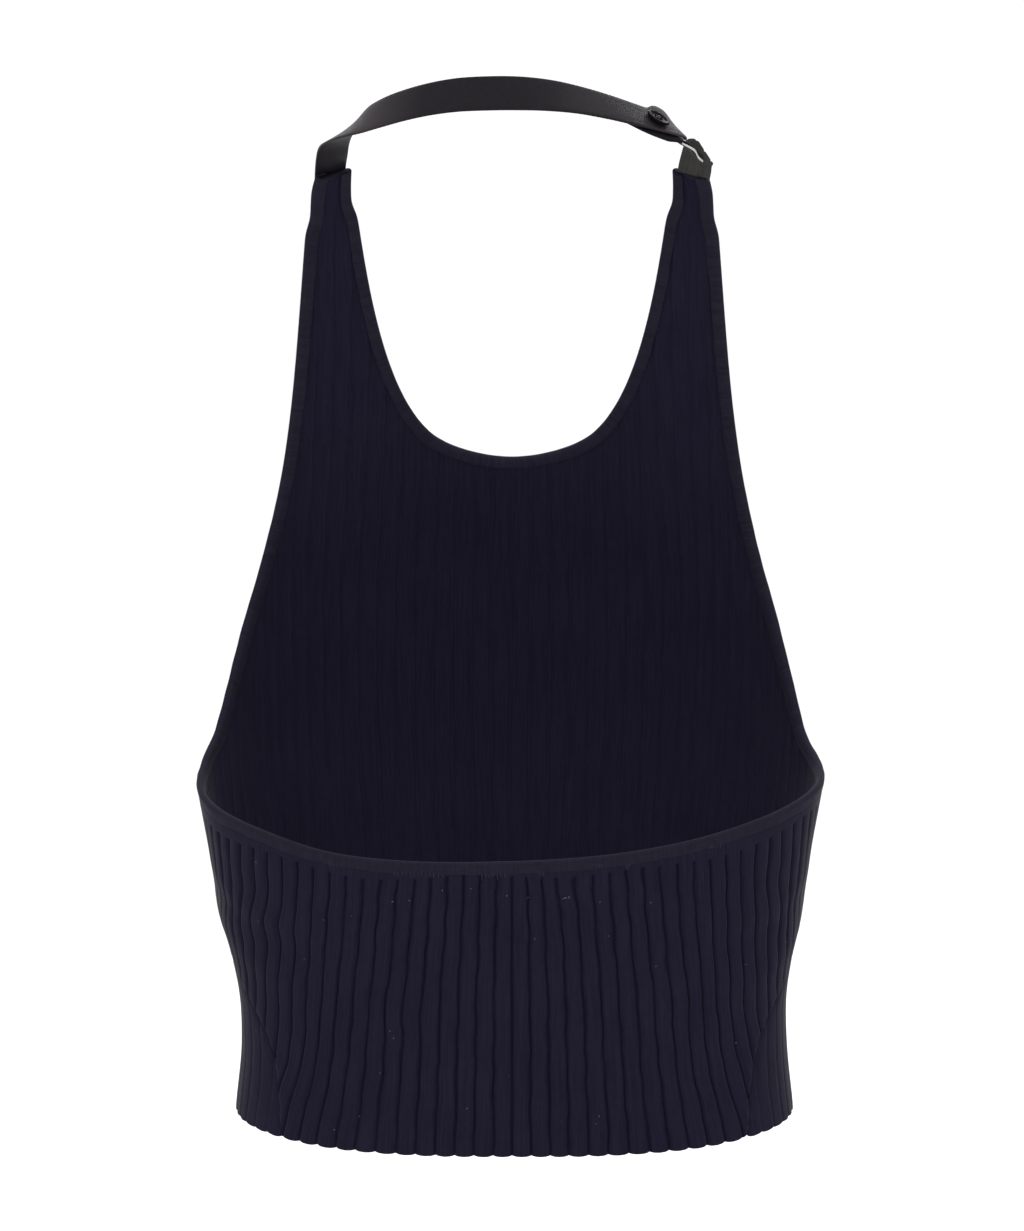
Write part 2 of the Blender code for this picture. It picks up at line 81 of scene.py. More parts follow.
# The figure: level, half width, back, front, depth of the widest point, lean.
FIGURE = (
    (-0.480, 0.1262, 0.0190, -0.1760, -0.0740, -0.0012),
    (-0.446, 0.1222, 0.0100, -0.1660, -0.0720, -0.0011),
    (-0.419, 0.1195, 0.0060, -0.1610, -0.0710, -0.0010),
    (-0.398, 0.1196, 0.0065, -0.1600, -0.0700, -0.0005),
    (-0.371, 0.1243, 0.0115, -0.1620, -0.0690, 0.0002),
    (-0.351, 0.1287, 0.0165, -0.1660, -0.0680, 0.0008),
    (-0.331, 0.1314, 0.0215, -0.1720, -0.0670, 0.0009),
    (-0.300, 0.1365, 0.0290, -0.1860, -0.0650, 0.0009),
    (-0.260, 0.1400, 0.0370, -0.1960, -0.0620, 0.0006),
    (-0.220, 0.1420, 0.0430, -0.1900, -0.0580, 0.0003),
    (-0.170, 0.1480, 0.0450, -0.1610, -0.0520, 0.0),
    (-0.120, 0.1530, 0.0390, -0.1310, -0.0460, 0.0),
    (-0.080, 0.1360, 0.0250, -0.1060, -0.0420, 0.0),
    (-0.050, 0.1080, 0.0120, -0.0880, -0.0390, 0.0),
    (-0.030, 0.0840, 0.0040, -0.0760, -0.0380, 0.0),
    (0.000, 0.0620, 0.0000, -0.0680, -0.0380, 0.0),
)
HALF_WIDTH, BACK, FRONT, WIDEST, LEAN = 1, 2, 3, 4, 5

# Top edge of the back: angle from the centre back, level on the left, level on the right.
TOP_EDGE = (
    (0, -0.3254, -0.3254), (15, -0.3259, -0.3243), (30, -0.3255, -0.3220), (45, -0.3229, -0.3174),
    (60, -0.3152, -0.3102), (75, -0.3080, -0.3028), (88, -0.3024, -0.2987), (97, -0.2982, -0.2957),
)
# Hem: angle from the centre back, level.
HEM = (
    (0, -0.4534), (30, -0.4534), (50, -0.4526), (62, -0.4512), (75, -0.4494), (90, -0.4470),
    (110, -0.4440), (140, -0.4415), (180, -0.4405),
)
# Side seam: level, angle from the centre back.
SEAM = (
    (-0.4540, 61.4), (-0.4400, 63.2), (-0.4250, 65.6), (-0.4125, 68.4), (-0.4000, 73.0),
    (-0.3900, 79.0), (-0.3775, 87.0), (-0.3600, 93.5), (-0.3300, 96.5), (-0.2940, 97.0),
)
# Edges of the front above the side corner: armhole across and level, neckline across and level.
FRONT_EDGES = (
    (0.1342, -0.2925, 0.0, -0.2560),
    (0.1309, -0.2855, 0.0, -0.2420),
    (0.1259, -0.2640, 0.0, -0.2130),
    (0.1196, -0.2380, 0.0, -0.1880),
    (0.1130, -0.2150, 0.0, -0.1668),
    (0.1072, -0.1920, 0.0200, -0.1637),
    (0.1026, -0.1700, 0.0372, -0.1556),
    (0.0992, -0.1490, 0.0488, -0.1400),
    (0.0966, -0.1290, 0.0564, -0.1215),
    (0.0945, -0.1100, 0.0614, -0.1030),
    (0.0926, -0.0920, 0.0649, -0.0850),
    (0.0908, -0.0750, 0.0674, -0.0680),
    (0.0892, -0.0610, 0.0691, -0.0540),
)
NECKLINE_START = 4  # the row at the neckline's lowest point
TUCKED_END = (0.0836, -0.0362, 0.0711, -0.0334)  # the front's last row, under the fold
# Rows above those, where the strap's left end and the doubled end lie, the same.
SHOULDER_END = (
    (0.0868, -0.0550, 0.0716, -0.0480),
    (0.0862, -0.0480, 0.0716, -0.0425),
    (0.0850, -0.0402, 0.0714, -0.0370),
)
BINDING_REACH = 0.0038  # down the cloth, from its edge
BINDING_STEP = 0.0010
BINDING_FACE = 0.0020  # points of its section further out than this swell a little
CORNER_SOFTNESS = 3.0  # steps over which a binding rounds the corners of its edge
# Where the back's grooves begin, below its top edge: angle, distance.
GROOVE_TOPS = (
    (-97, 0.0074), (-70, 0.0086), (-45, 0.0078), (-15, 0.0054), (0, 0.0047), (20, 0.0052),
    (45, 0.0072), (70, 0.0082), (97, 0.0070),
)
HOOK_SHADE = 0.7  # how far a bend of depth 1 is darkened by painted shade, against a groove
HOOK_DEPTH = 0.45  # how deep a bend is for its painted shade, against a groove
# Grooves whose tops bend over to the next groove: groove on the right, height of the bend, depth.
HOOKS = (
    (-13, 0.0011, 0.30), (-10, 0.0016, 0.45), (-9, 0.0009, 0.25), (-5, 0.0018, 0.50),
    (-2, 0.0014, 0.25), (3, 0.0018, 0.55), (5, 0.0009, 0.30), (8, 0.0015, 0.45),
    (12, 0.0012, 0.50), (14, 0.0016, 0.35),
)
# Neck strap, right end to left: across, depth, level of its centre line, tilt of its face, width.
NECK_PATH = (
    (-0.0724, -0.0278, -0.0190, 70, 0.0066),
    (-0.0705, -0.0253, -0.0163, 62, 0.0140),
    (-0.0674, -0.0224, -0.0137, 54, 0.0162),
    (-0.0625, -0.0186, -0.0122, 53, 0.0152),
    (-0.0565, -0.0148, -0.0105, 52, 0.0152),
    (-0.0506, -0.0116, -0.0088, 49, 0.0155),
    (-0.0387, -0.0064, -0.0055, 44, 0.0154),
    (-0.0268, -0.0028, -0.0028, 37, 0.0149),
    (-0.0150, -0.0006, -0.0010, 25, 0.0146),
    (0.0000, 0.0002, 0.0000, 12, 0.0146),
    (0.0120, -0.0003, -0.0001, 10, 0.0146),
    (0.0225, -0.0018, -0.0007, 14, 0.0147),
    (0.0327, -0.0045, -0.0022, 21, 0.0150),
    (0.0446, -0.0090, -0.0050, 30, 0.0156),
    (0.0565, -0.0148, -0.0090, 38, 0.0162),
    (0.0630, -0.0192, -0.0118, 45, 0.0166),
    (0.0695, -0.0255, -0.0156, 59, 0.0158),
    (0.0740, -0.0335, -0.0192, 70, 0.0149),
    (0.0766, -0.0420, -0.0222, 76, 0.0146),
    (0.0779, -0.0500, -0.0272, 76, 0.0146),
)
LAID_LIFT = KNIT + 0.0010  # of the strap's left end, laid on the front
# Tab under the strap's right end: across, how far it sits below the strap's centre line, width.
TAB_SHIFT = (
    (0.0480, -0.0026, 0.0118), (0.0540, -0.0003, 0.0128), (0.0600, 0.0024, 0.0130),
    (0.0660, 0.0044, 0.0126), (0.0724, 0.0054, 0.0094),
)
UNDER_GAP = 0.0008  # between the tab and the strap over it
# Where the tab runs on under the fold: across, depth, level, width.
TAB_END = (
    (-0.0790, -0.0430, -0.0271, 0.0070),
    (-0.0791, -0.0380, -0.0266, 0.0070),
    (-0.0787, -0.0335, -0.0265, 0.0070),
    (-0.0768, -0.0300, -0.0248, 0.0070),
)
LABEL_START = 2  # the tab's station where the label begins
LABEL_DROPS = (0.0008, 0.0010, 0.0010, 0.0007)  # how far it shows below the tab
LABEL_WALL = 0.0005
BUTTON_ACROSS = 0.0608  # how far to the wearer's right its middle is
# Doubled knit end over the right shoulder: across, depth and level of its neck and outer sides.
FOLD_EDGES = (
    (-0.0750, -0.0335, -0.0200, -0.0862, -0.0335, -0.0306),
    (-0.0750, -0.0370, -0.0197, -0.0862, -0.0370, -0.0302),
    (-0.0748, -0.0425, -0.0202, -0.0862, -0.0420, -0.0306),
    (-0.0742, -0.0480, -0.0222, -0.0862, -0.0468, -0.0322),
    (-0.0735, -0.0535, -0.0255, -0.0861, -0.0512, -0.0346),
    (-0.0726, -0.0590, -0.0300, -0.0858, -0.0555, -0.0372),
    (-0.0719, -0.0645, -0.0355, -0.0854, -0.0600, -0.0394),
)
FOLD_GROOVES = (0.20, 0.58, 0.90)  # shares of the way from its neck side
FOLD_WIDTH = 0.0155  # on the material's map
# The fold's thickness: share of the way from its neck side to its outer side, height.
FOLD_SHAPE = (
    (0.00, 0.0009), (0.10, 0.0026), (0.25, 0.0034), (0.41, 0.0029), (0.60, 0.0022), (0.81, 0.0014),
    (1.00, 0.0008),
)

BACK_RIB_COUNT, FRONT_RIB_COUNT = 28, 29  # to each side; the edges cut off the last ones
# Ribs of the back: level, width at the centre, how much wider each next rib is.
BACK_RIBS = (
    (-0.455, 0.0080, 0.00015), (-0.420, 0.0079, 0.00003), (-0.390, 0.0077, 0.0),
    (-0.360, 0.0072, 0.00003), (-0.330, 0.0066, 0.0001), (-0.290, 0.0064, 0.0001),
)
# Ribs of the front, the same.
FRONT_RIBS = (
    (-0.4520, 0.0083, 0.00003), (-0.4100, 0.0080, 0.00002), (-0.3500, 0.0084, 0.00002),
    (-0.2700, 0.0092, 0.00001), (-0.2200, 0.0092, 0.0), (-0.1700, 0.0086, 0.0),
    (-0.1200, 0.0082, 0.0), (-0.0300, 0.0080, 0.0),
)
# Creases where the back's ribs bend aside: side, level, half height, rib at the middle, ribs to
# each side of it, how far outward.
BACK_BENDS = (
    (1, -0.358, 0.008, 17, 3.0, 0.0050),
    (1, -0.340, 0.006, 15, 2.0, -0.0010),
    (1, -0.390, 0.010, 6, 1.5, 0.0010),
    (1, -0.410, 0.022, 13, 2.5, -0.0022),
    (-1, -0.356, 0.007, 17, 1.5, 0.0030),
    (-1, -0.338, 0.009, 16, 2.0, -0.0015),
    (-1, -0.332, 0.012, 3, 1.5, -0.0015),
    (-1, -0.384, 0.009, 10, 1.5, 0.0010),
    (-1, -0.393, 0.018, 14, 3.0, -0.0022),
    (-1, -0.420, 0.022, 12, 2.5, -0.0015),
)


# ---------------------------------------------------------------- the figure


def follow(table, column, at):
    """The table's column at each value of its first column, as a smooth curve through the rows."""
    rows = np.array(table, float)
    x, y = rows[:, 0], rows[:, column]
    slope = np.gradient(y, x)
    at = np.clip(at, x[0], x[-1])
    i = np.clip(np.searchsorted(x, at) - 1, 0, len(x) - 2)
    h = x[i + 1] - x[i]
    t = (at - x[i]) / h
    start = (1 + 2 * t) * y[i] + t * h * slope[i]
    end = (3 - 2 * t) * y[i + 1] + (t - 1) * h * slope[i + 1]
    return (1 - t) ** 2 * start + t**2 * end


def rows_at(table, at):
    """All the table's columns after the first, at each value of its first."""
    return np.stack([follow(table, i, at) for i in range(1, len(table[0]))], 1)


def numbered(table):
    """The table with its rows' numbers before its first column."""
    return np.column_stack([np.arange(len(table)), table])


def figure(angle, level):
    """Points on the figure at angles in degrees from the centre back."""
    turn = np.radians(np.asarray(angle, float))
    level = np.asarray(level, float)
    width, back = follow(FIGURE, HALF_WIDTH, level), follow(FIGURE, BACK, level)
    front, middle = follow(FIGURE, FRONT, level), follow(FIGURE, WIDEST, level)
    behind = np.cos(turn) > 0
    deep = np.where(behind, back - middle, middle - front)
    power = np.where(behind, BACK_SQUARENESS, FRONT_SQUARENESS)
    across = np.abs(np.sin(turn)) / width
    along = np.abs(np.cos(turn)) / deep
    reach = (across**power + along**power) ** (-1 / power)
    x, y = follow(FIGURE, LEAN, level) + reach * np.sin(turn), middle + reach * np.cos(turn)
    return np.stack(np.broadcast_arrays(x, y, level), -1)


def outward(angle, level):
    """Unit normals of the figure."""
    angle, level = np.broadcast_arrays(np.asarray(angle, float), np.asarray(level, float))
    round_it = figure(angle + 0.2, level) - figure(angle - 0.2, level)
    up = figure(angle, level + 0.0004) - figure(angle, level - 0.0004)
    normal = np.cross(up, round_it)
    return normal / np.linalg.norm(normal, axis=-1, keepdims=True)


def front_angle(across, level):
    """The angle of the front's point at a distance across from the section's middle."""
    width, front = follow(FIGURE, HALF_WIDTH, level), follow(FIGURE, FRONT, level)
    middle = follow(FIGURE, WIDEST, level)
    share = np.clip(across / width, 0, 1) ** FRONT_SQUARENESS
    deep = (middle - front) * (1 - share) ** (1 / FRONT_SQUARENESS)
    return np.degrees(np.arctan2(across, -deep))


def on_cloth(points, out):
    """Points brought to the figure at their own levels, then moved out along its normals."""
    level = points[..., 2]
    middle, lean = follow(FIGURE, WIDEST, level), follow(FIGURE, LEAN, level)
    angle = np.degrees(np.arctan2(points[..., 0] - lean, points[..., 1] - middle))
    return figure(angle, level) + outward(angle, level) * np.asarray(out)[..., None]


def unit(rows):
    return rows / np.linalg.norm(rows, axis=-1, keepdims=True)


def distances(points):
    """How far along a path each of its points is."""
    return np.concatenate([[0], np.cumsum(np.linalg.norm(np.diff(points, axis=0), axis=1))])


def smooth(share):
    share = np.clip(share, 0, 1)
    return share * share * (3 - 2 * share)


def bell(off, width):
    """A smooth bump: 1 where off is 0, dying out over a few widths."""
    return np.exp(-((off / width) ** 2))


class Girth:
    """Distances round the figure from the centre back, and the angles at such distances.

    Both are positive on the wearer's left and negative on the right.
    """

    levels = np.linspace(-0.475, 0.0, 191)
    angles = np.linspace(0, 220, 441)  # past the centre front, so that it is read exactly
    lengths = np.linspace(0, 0.50, 1001)

    def __init__(self):
        rings = figure(self.angles[None, :], self.levels[:, None])
        steps = np.linalg.norm(np.diff(rings, axis=1), axis=2)
        self.table = np.concatenate([np.zeros((len(self.levels), 1)), np.cumsum(steps, 1)], 1)
        rows = [np.interp(self.lengths, row, self.angles) for row in self.table]
        self.inverse = np.array(rows)

    def read(self, table, columns, level, column):
        row = np.interp(level, self.levels, np.arange(len(self.levels)))
        place = np.interp(column, columns, np.arange(len(columns)))
        i = np.minimum(row.astype(int), len(self.levels) - 2)
        j = np.minimum(place.astype(int), len(columns) - 2)
        a, b = row - i, place - j
        low = table[i, j] * (1 - b) + table[i, j + 1] * b
        return low * (1 - a) + (table[i + 1, j] * (1 - b) + table[i + 1, j + 1] * b) * a

    def length(self, angle, level):
        return self.read(self.table, self.angles, level, np.abs(angle)) * np.sign(angle)

    def angle(self, length, level):
        return self.read(self.inverse, self.lengths, level, np.abs(length)) * np.sign(length)


girth = Girth()


# ---------------------------------------------------------------- meshes


def add(name, points, faces, material, uv):
    """A smooth mesh object; uv holds a place on the cloth, in metres, for each point."""
    mesh = bpy.data.meshes.new(name)
    mesh.from_pydata(np.asarray(points).tolist(), [], faces)
    mesh.update()
    mesh.shade_smooth()
    mesh.materials.append(material)
    corners = np.zeros(len(mesh.loops), np.int32)
    mesh.loops.foreach_get("vertex_index", corners)
    layer = mesh.uv_layers.new(name="cloth")
    layer.uv.foreach_set("vector", np.asarray(uv, np.float32)[corners].ravel())
    thing = bpy.data.objects.new(name, mesh)
    bpy.context.scene.collection.objects.link(thing)
    return thing


def grid(rows, columns, start=0, closed=False):
    """Quads over rows x columns of points; closed joins the last column to the first."""
    at = start + np.arange(rows * columns).reshape(rows, columns)
    if closed:
        at = np.concatenate([at, at[:, :1]], 1)
    corners = (at[:-1, :-1], at[:-1, 1:], at[1:, 1:], at[1:, :-1])
    return np.stack(corners, -1).reshape(-1, 4)


def welded(base, quads):
    """Which points are left once coincident ones are joined, and the faces between them."""
    keys = np.round(base / 2e-6).astype(np.int64)
    _, first, new = np.unique(keys, axis=0, return_index=True, return_inverse=True)
    faces = []
    for quad in new.ravel()[quads].tolist():
        face = [i for i, before in zip(quad, quad[-1:] + quad[:-1]) if i != before]
        if len(set(face)) == len(face) > 2:
            faces.append(face)
    used = sorted({i for face in faces for i in face})
    place = {old: k for k, old in enumerate(used)}
    return first[used], [tuple(place[i] for i in face) for face in faces]


def shell(name, base, outer, inner, uv, sunk, calm, quads, material):
    """A closed wall of cloth from its outer and inner faces, with a rounded rim.

    For the material, sunk says how deep in a groove each outer point is, from 0 to 1, and sets
    the painted groove shade; calm is the figure's own normal there, which sets the painted rim
    sheen.
    """
    first, faces = welded(base.reshape(-1, 3), quads)
    outer, inner = outer.reshape(-1, 3)[first], inner.reshape(-1, 3)[first]
    uv = uv.reshape(-1, 2)[first]
    edges = np.array([(a, b) for f in faces for a, b in zip(f, f[1:] + f[:1])])
    size = len(first)
    codes, back = edges[:, 0] * size + edges[:, 1], edges[:, 1] * size + edges[:, 0]
    rim = edges[~np.isin(codes, back)]
    on_rim = np.unique(rim)
    a, b = rim.T
    inward = np.zeros((size, 3))
    middle = (outer + inner) / 2
    side = np.cross(outer[a] - inner[a], middle[b] - middle[a])
    side = side / np.maximum(np.linalg.norm(side, axis=1, keepdims=True), 1e-12)
    for ends in (a, b):
        np.add.at(inward, ends, side)
    inward = inward[on_rim]
    inward = inward / np.maximum(np.linalg.norm(inward, axis=1, keepdims=True), 1e-9)
    bulge = middle[on_rim] - inward * ROUND_EDGE
    place = np.zeros(size, int)
    place[on_rim] = 2 * size + np.arange(len(on_rim))
    turned = [tuple(i + size for i in reversed(face)) for face in faces]
    top = np.stack([b, a, place[a], place[b]], 1)
    low = np.stack([place[b], place[a], a + size, b + size], 1)
    faces = faces + turned + [tuple(f) for f in np.concatenate([top, low]).tolist()]
    thing = add(name, np.concatenate([outer, inner, bulge]), faces, material,
                np.concatenate([uv, uv, uv[on_rim]]))
    sunk = sunk.ravel()[first].astype(np.float32)
    layer = thing.data.attributes.new("sunk", "FLOAT", "POINT")
    layer.data.foreach_set("value", np.concatenate([sunk, 0 * sunk, 0 * sunk[on_rim]]))
    calm = calm.reshape(-1, 3)[first].astype(np.float32)
    layer = thing.data.attributes.new("calm", "FLOAT_VECTOR", "POINT")
    layer.data.foreach_set("vector", np.concatenate([calm, calm, calm[on_rim]]).ravel())
    return thing


def tube_faces(stations, places, start=0):
    """Quads over closed rings of points, and a cap at each end."""
    last = start + (stations - 1) * places
    quads = grid(stations, places, start, closed=True).tolist()
    return [*map(tuple, quads), tuple(range(start, start + places))[::-1],
            tuple(range(last, last + places))]


def tube(name, rings, material, uv):
    """A closed skin over stations x places of points, with its ends capped."""
    faces = tube_faces(*rings.shape[:2])
    return add(name, rings.reshape(-1, 3), faces, material, uv.reshape(-1, 2))


# ---------------------------------------------------------------- ribs


def sway(groove, level):
    """How far a groove wanders round the cloth, at each level."""
    slow = 0.00013 * np.sin(level / 0.0083 + 2.4 * groove)
    quick = 0.00009 * np.sin(level / 0.0023 + 4.1 * groove + 2.0 * np.sin(3.0 * groove))
    jog = 0.00017 * np.tanh(4.0 * np.sin(level / 0.0037 + 5.3 * groove + np.sin(level / 0.011)))
    return slow + quick + jog


def bent(bends, rib, level):
    """How far the ribs bend aside in the creases."""
    shift = 0
    for side, place, height, middle, reach, outward_by in bends:
        off = ((level - place) / height) ** 2 + ((side * rib - middle) / reach) ** 2
        shift = shift + side * outward_by * np.exp(-off)
    return shift


def groove_at(table, bends, rib, level):
    """Distance round the cloth from its centre line to a place counted in ribs."""
    place = follow(table, 1, level) * rib + follow(table, 2, level) * rib * np.abs(rib) / 2
    low = np.floor(rib)
    share = rib - low
    for number, weight in ((low, 1 - share), (low + 1, share)):
        place = place + weight * sway(number, level) * (number != 0)
    return place + bent(bends, rib, level)


def rib_columns(count):
    """Places counted in ribs, closer together at the grooves, from -count to count."""
    places = np.add.outer(np.arange(-count, count), RIB_PLACES).ravel()
    return np.append(places, count)


def rib_form(rib, pitch, level, strength):
    """Outer and inner offsets of the cloth across its ribs, and how deep in a groove it is."""
    number = np.round(rib)
    apart = np.abs(rib - number) * pitch
    wander = np.sin(level / 0.0047 + 3.3 * number) * np.sin(level / 0.0103 + 1.7 * number)
    half = GROOVE_HALF * (1 + 0.28 * wander)
    groove = np.exp(-((apart / half) ** 2) / 1.6)
    wide = bell(apart, half * 3.0)
    lip = bell(apart - half * 2.9, 0.0005)
    flank = (1 - np.clip(apart / (pitch / 2), 0, 1)) ** 2
    wales = 0.00005 * np.cos(2 * math.pi * 3 * rib) * (1 - wide)
    sunk = GROOVE * (0.78 * groove + 0.20 * wide) + 0.00010 * flank - LIP * lip - wales
    outer = CROWN - strength * sunk
    inner = -strength * INSIDE_RIDGE * bell(apart, GROOVE_HALF * 1.5)
    return outer, inner, strength * groove


# Soft folds: angle and level of each end, half width, depth (a ridge is below zero).
BACK_FOLDS = (
    (86, -0.3440, 50, -0.3720, 0.0060, 0.0011),
    (90, -0.3560, 58, -0.3850, 0.0070, -0.0008),
    (70, -0.4100, 52, -0.4230, 0.0070, 0.0006),
    (-84, -0.3470, -52, -0.3700, 0.0055, 0.0009),
    (-88, -0.3600, -60, -0.3880, 0.0070, -0.0007),
    (-68, -0.4080, -48, -0.4200, 0.0060, 0.0005),
    (20, -0.3900, -26, -0.3960, 0.0110, 0.0005),
)
FRONT_FOLDS = (
    (100, -0.3500, 138, -0.3180, 0.0090, 0.0016),
    (104, -0.3720, 146, -0.3480, 0.0100, 0.0012),
    (96, -0.3950, 140, -0.3860, 0.0090, -0.0010),
    (-101, -0.3540, -140, -0.3240, 0.0095, 0.0015),
    (-104, -0.3800, -150, -0.3600, 0.0105, 0.0011),
    (-98, -0.4040, -138, -0.3960, 0.0080, -0.0009),
)


def folded(folds, angle, level):
    """Depth of the soft folds at each place."""
    around = girth.length(angle, level)
    depth = np.zeros(np.shape(angle))
    for turn, height, next_turn, next_height, half, deep in folds:
        start = np.array([girth.length(turn, height), height])
        run = np.array([girth.length(next_turn, next_height), next_height]) - start
        x, y = around - start[0], level - start[1]
        along = (x * run[0] + y * run[1]) / (run @ run)
        nearest = np.clip(along, 0, 1)
        off = np.hypot(x - nearest * run[0], y - nearest * run[1])
        ends = smooth(np.minimum(along + 0.25, 1.25 - along) / 0.5)
        depth += deep * ends * bell(off, half)
    return depth


def top_level(angle):
    """Level of the back's top edge, going over from one side's table to the other's."""
    left, right = follow(TOP_EDGE, 1, np.abs(angle)), follow(TOP_EDGE, 2, np.abs(angle))
    share = smooth(angle / 16 + 0.5)
    return share * left + (1 - share) * right


def seam_angle(side, level, shift):
    """Angle of the side seam on one side, moved forward by shift metres."""
    angle = follow(SEAM, 1, level)
    return girth.angle(girth.length(angle, level) + shift, level) * side


def past_seam(angle, level):
    """How far forward of the side seam a place on either side is, round the cloth."""
    seam = girth.length(seam_angle(1, level, 0), level)
    return girth.length(np.abs(angle), level) - seam


def hem_drop(rib, above):
    """How far the hem's scallops drop below the grooves, fading with height above the hem."""
    middle = np.abs(np.abs(rib - np.floor(rib)) - 0.5) * 2
    return SCALLOP * (1 - middle**2.4) * np.exp(-above / HEM_FADE)


def build_back(material):
    """The back panel with its ribs, from seam to seam."""
    rib = rib_columns(BACK_RIB_COUNT)[None, :]
    share = np.concatenate([np.linspace(*run) for run in BACK_ROWS])[:, None]
    angle = np.zeros(np.broadcast(rib, share).shape)
    for _ in range(ROUNDS):
        low, high = follow(HEM, 1, np.abs(angle)), top_level(angle)
        level = low + share * (high - low)
        plumb = -follow(FIGURE, LEAN, level)  # the middle groove hangs straight down
        place = groove_at(BACK_RIBS, BACK_BENDS, rib, level) + plumb
        free = girth.angle(place, level)
        above = level - low
        notch = NOTCH * np.clip(1 - above / NOTCH_HEIGHT, 0, 1)
        right = seam_angle(-1, level, -SEAM_GAP - notch)
        angle = np.clip(free, right, seam_angle(1, level, -SEAM_GAP))
    away = near_edge(figure(angle, level), edge_path())
    uneven = 0.0011 * np.sin(5.7 * np.round(rib)) - 0.0006
    start = follow(GROOVE_TOPS, 1, angle) + uneven
    strength = smooth((away - start) / GROOVE_FADE) * (free == angle)
    hooks = np.zeros(angle.shape)
    for groove, bend, depth in HOOKS:
        share_over = rib - groove
        arch = start + 0.0010 - bend * np.sin(math.pi * np.clip(share_over, 0, 1))
        line = bell(away - arch, 0.00085) * (share_over > 0) * (share_over < 1)
        hooks = np.maximum(hooks, depth * line)
    return panel("back_rib_knit", BACK_FOLDS, angle, level, rib, follow(BACK_RIBS, 1, level),
                 strength, HOOK_SHADE * hooks, away, -past_seam(angle, level), above,
                 grid(*angle.shape)[:, ::-1], material)


def panel(name, folds, angle, level, rib, pitch, strength, hooks, away, to_seam, above, quads,
          material):
    """A ribbed panel from its points' angles and levels and their places counted in ribs."""
    outer, inner, sunk = rib_form(rib, pitch, level, strength)
    outer = outer - hooks * GROOVE * HOOK_DEPTH
    pucker = 1 + 0.35 * np.sin(level / 0.00115)
    outer = outer - SEAM_DIP * pucker * bell(to_seam, 0.0014)
    covered = smooth((BINDING_REACH + 0.0002 - away) / 0.0006)
    depth = folded(folds, angle, level)
    base, normal = figure(angle, level), outward(angle, level)
    hung = base.copy()
    hung[..., 2] -= hem_drop(rib, above) * (strength > 0)
    uv = np.stack(np.broadcast_arrays(rib * RIB_MEASURE, level), -1)
    outside = hung + normal * (outer - depth - REBATE * covered)[..., None]
    inside = hung + normal * (inner - depth)[..., None]
    return shell(name, base, outside, inside, uv, np.maximum(sunk, hooks), normal, quads, material)


def cut_edges():
    """Angle and level along the front's armhole edge and its neckline, from below."""
    table = numbered(FRONT_EDGES)
    at = np.arange(2 * len(FRONT_EDGES) - 1) / 2
    edges = rows_at(table, at)
    edges[at <= NECKLINE_START, 2] = 0.0
    before, after = table[NECKLINE_START - 1], table[NECKLINE_START + 1]
    before[3:] = -after[3], after[4]  # mirrored, so that the neckline is level at its lowest point
    above = at >= NECKLINE_START
    edges[above, 2:] = rows_at(table, at[above])[:, 2:]
    edges = np.concatenate([edges, SHOULDER_END, [TUCKED_END]])
    armhole = np.stack([front_angle(*edges[:, :2].T), edges[:, 1]], 1)
    neckline = np.stack([front_angle(*edges[:, 2:].T), edges[:, 3]], 1)
    return armhole, neckline[2 * NECKLINE_START :]


ARMHOLE, NECKLINE = cut_edges()


def outer_limit(side, level):
    """Angle of the front's outer edge on one side: the side seam, then the armhole."""
    corner = float(top_level(side * CORNER_ANGLE))
    end = NECKLINE[-1]
    levels = np.concatenate([[corner], ARMHOLE[:, 1], [end[1]]])
    angles = np.concatenate([[float(follow(SEAM, 1, corner))], ARMHOLE[:, 0], [end[0]]])
    seam = seam_angle(1, level, SEAM_GAP)
    return np.where(level < corner, seam, np.interp(level, levels, angles))


def inner_limit(level):
    """Angle of the neckline's edge, or of the centre front below it."""
    return np.interp(level, NECKLINE[:, 1], NECKLINE[:, 0])


def near_edge(points, path):
    """Distance from each point to an edge, given as a path of angles and levels."""
    line = figure(*resampled(*path, EDGE_STEP))
    tree = mathutils.kdtree.KDTree(len(line))
    for i, point in enumerate(line):
        tree.insert(point, i)
    tree.balance()
    return np.array([tree.find(p)[2] for p in points.reshape(-1, 3)]).reshape(points.shape[:-1])


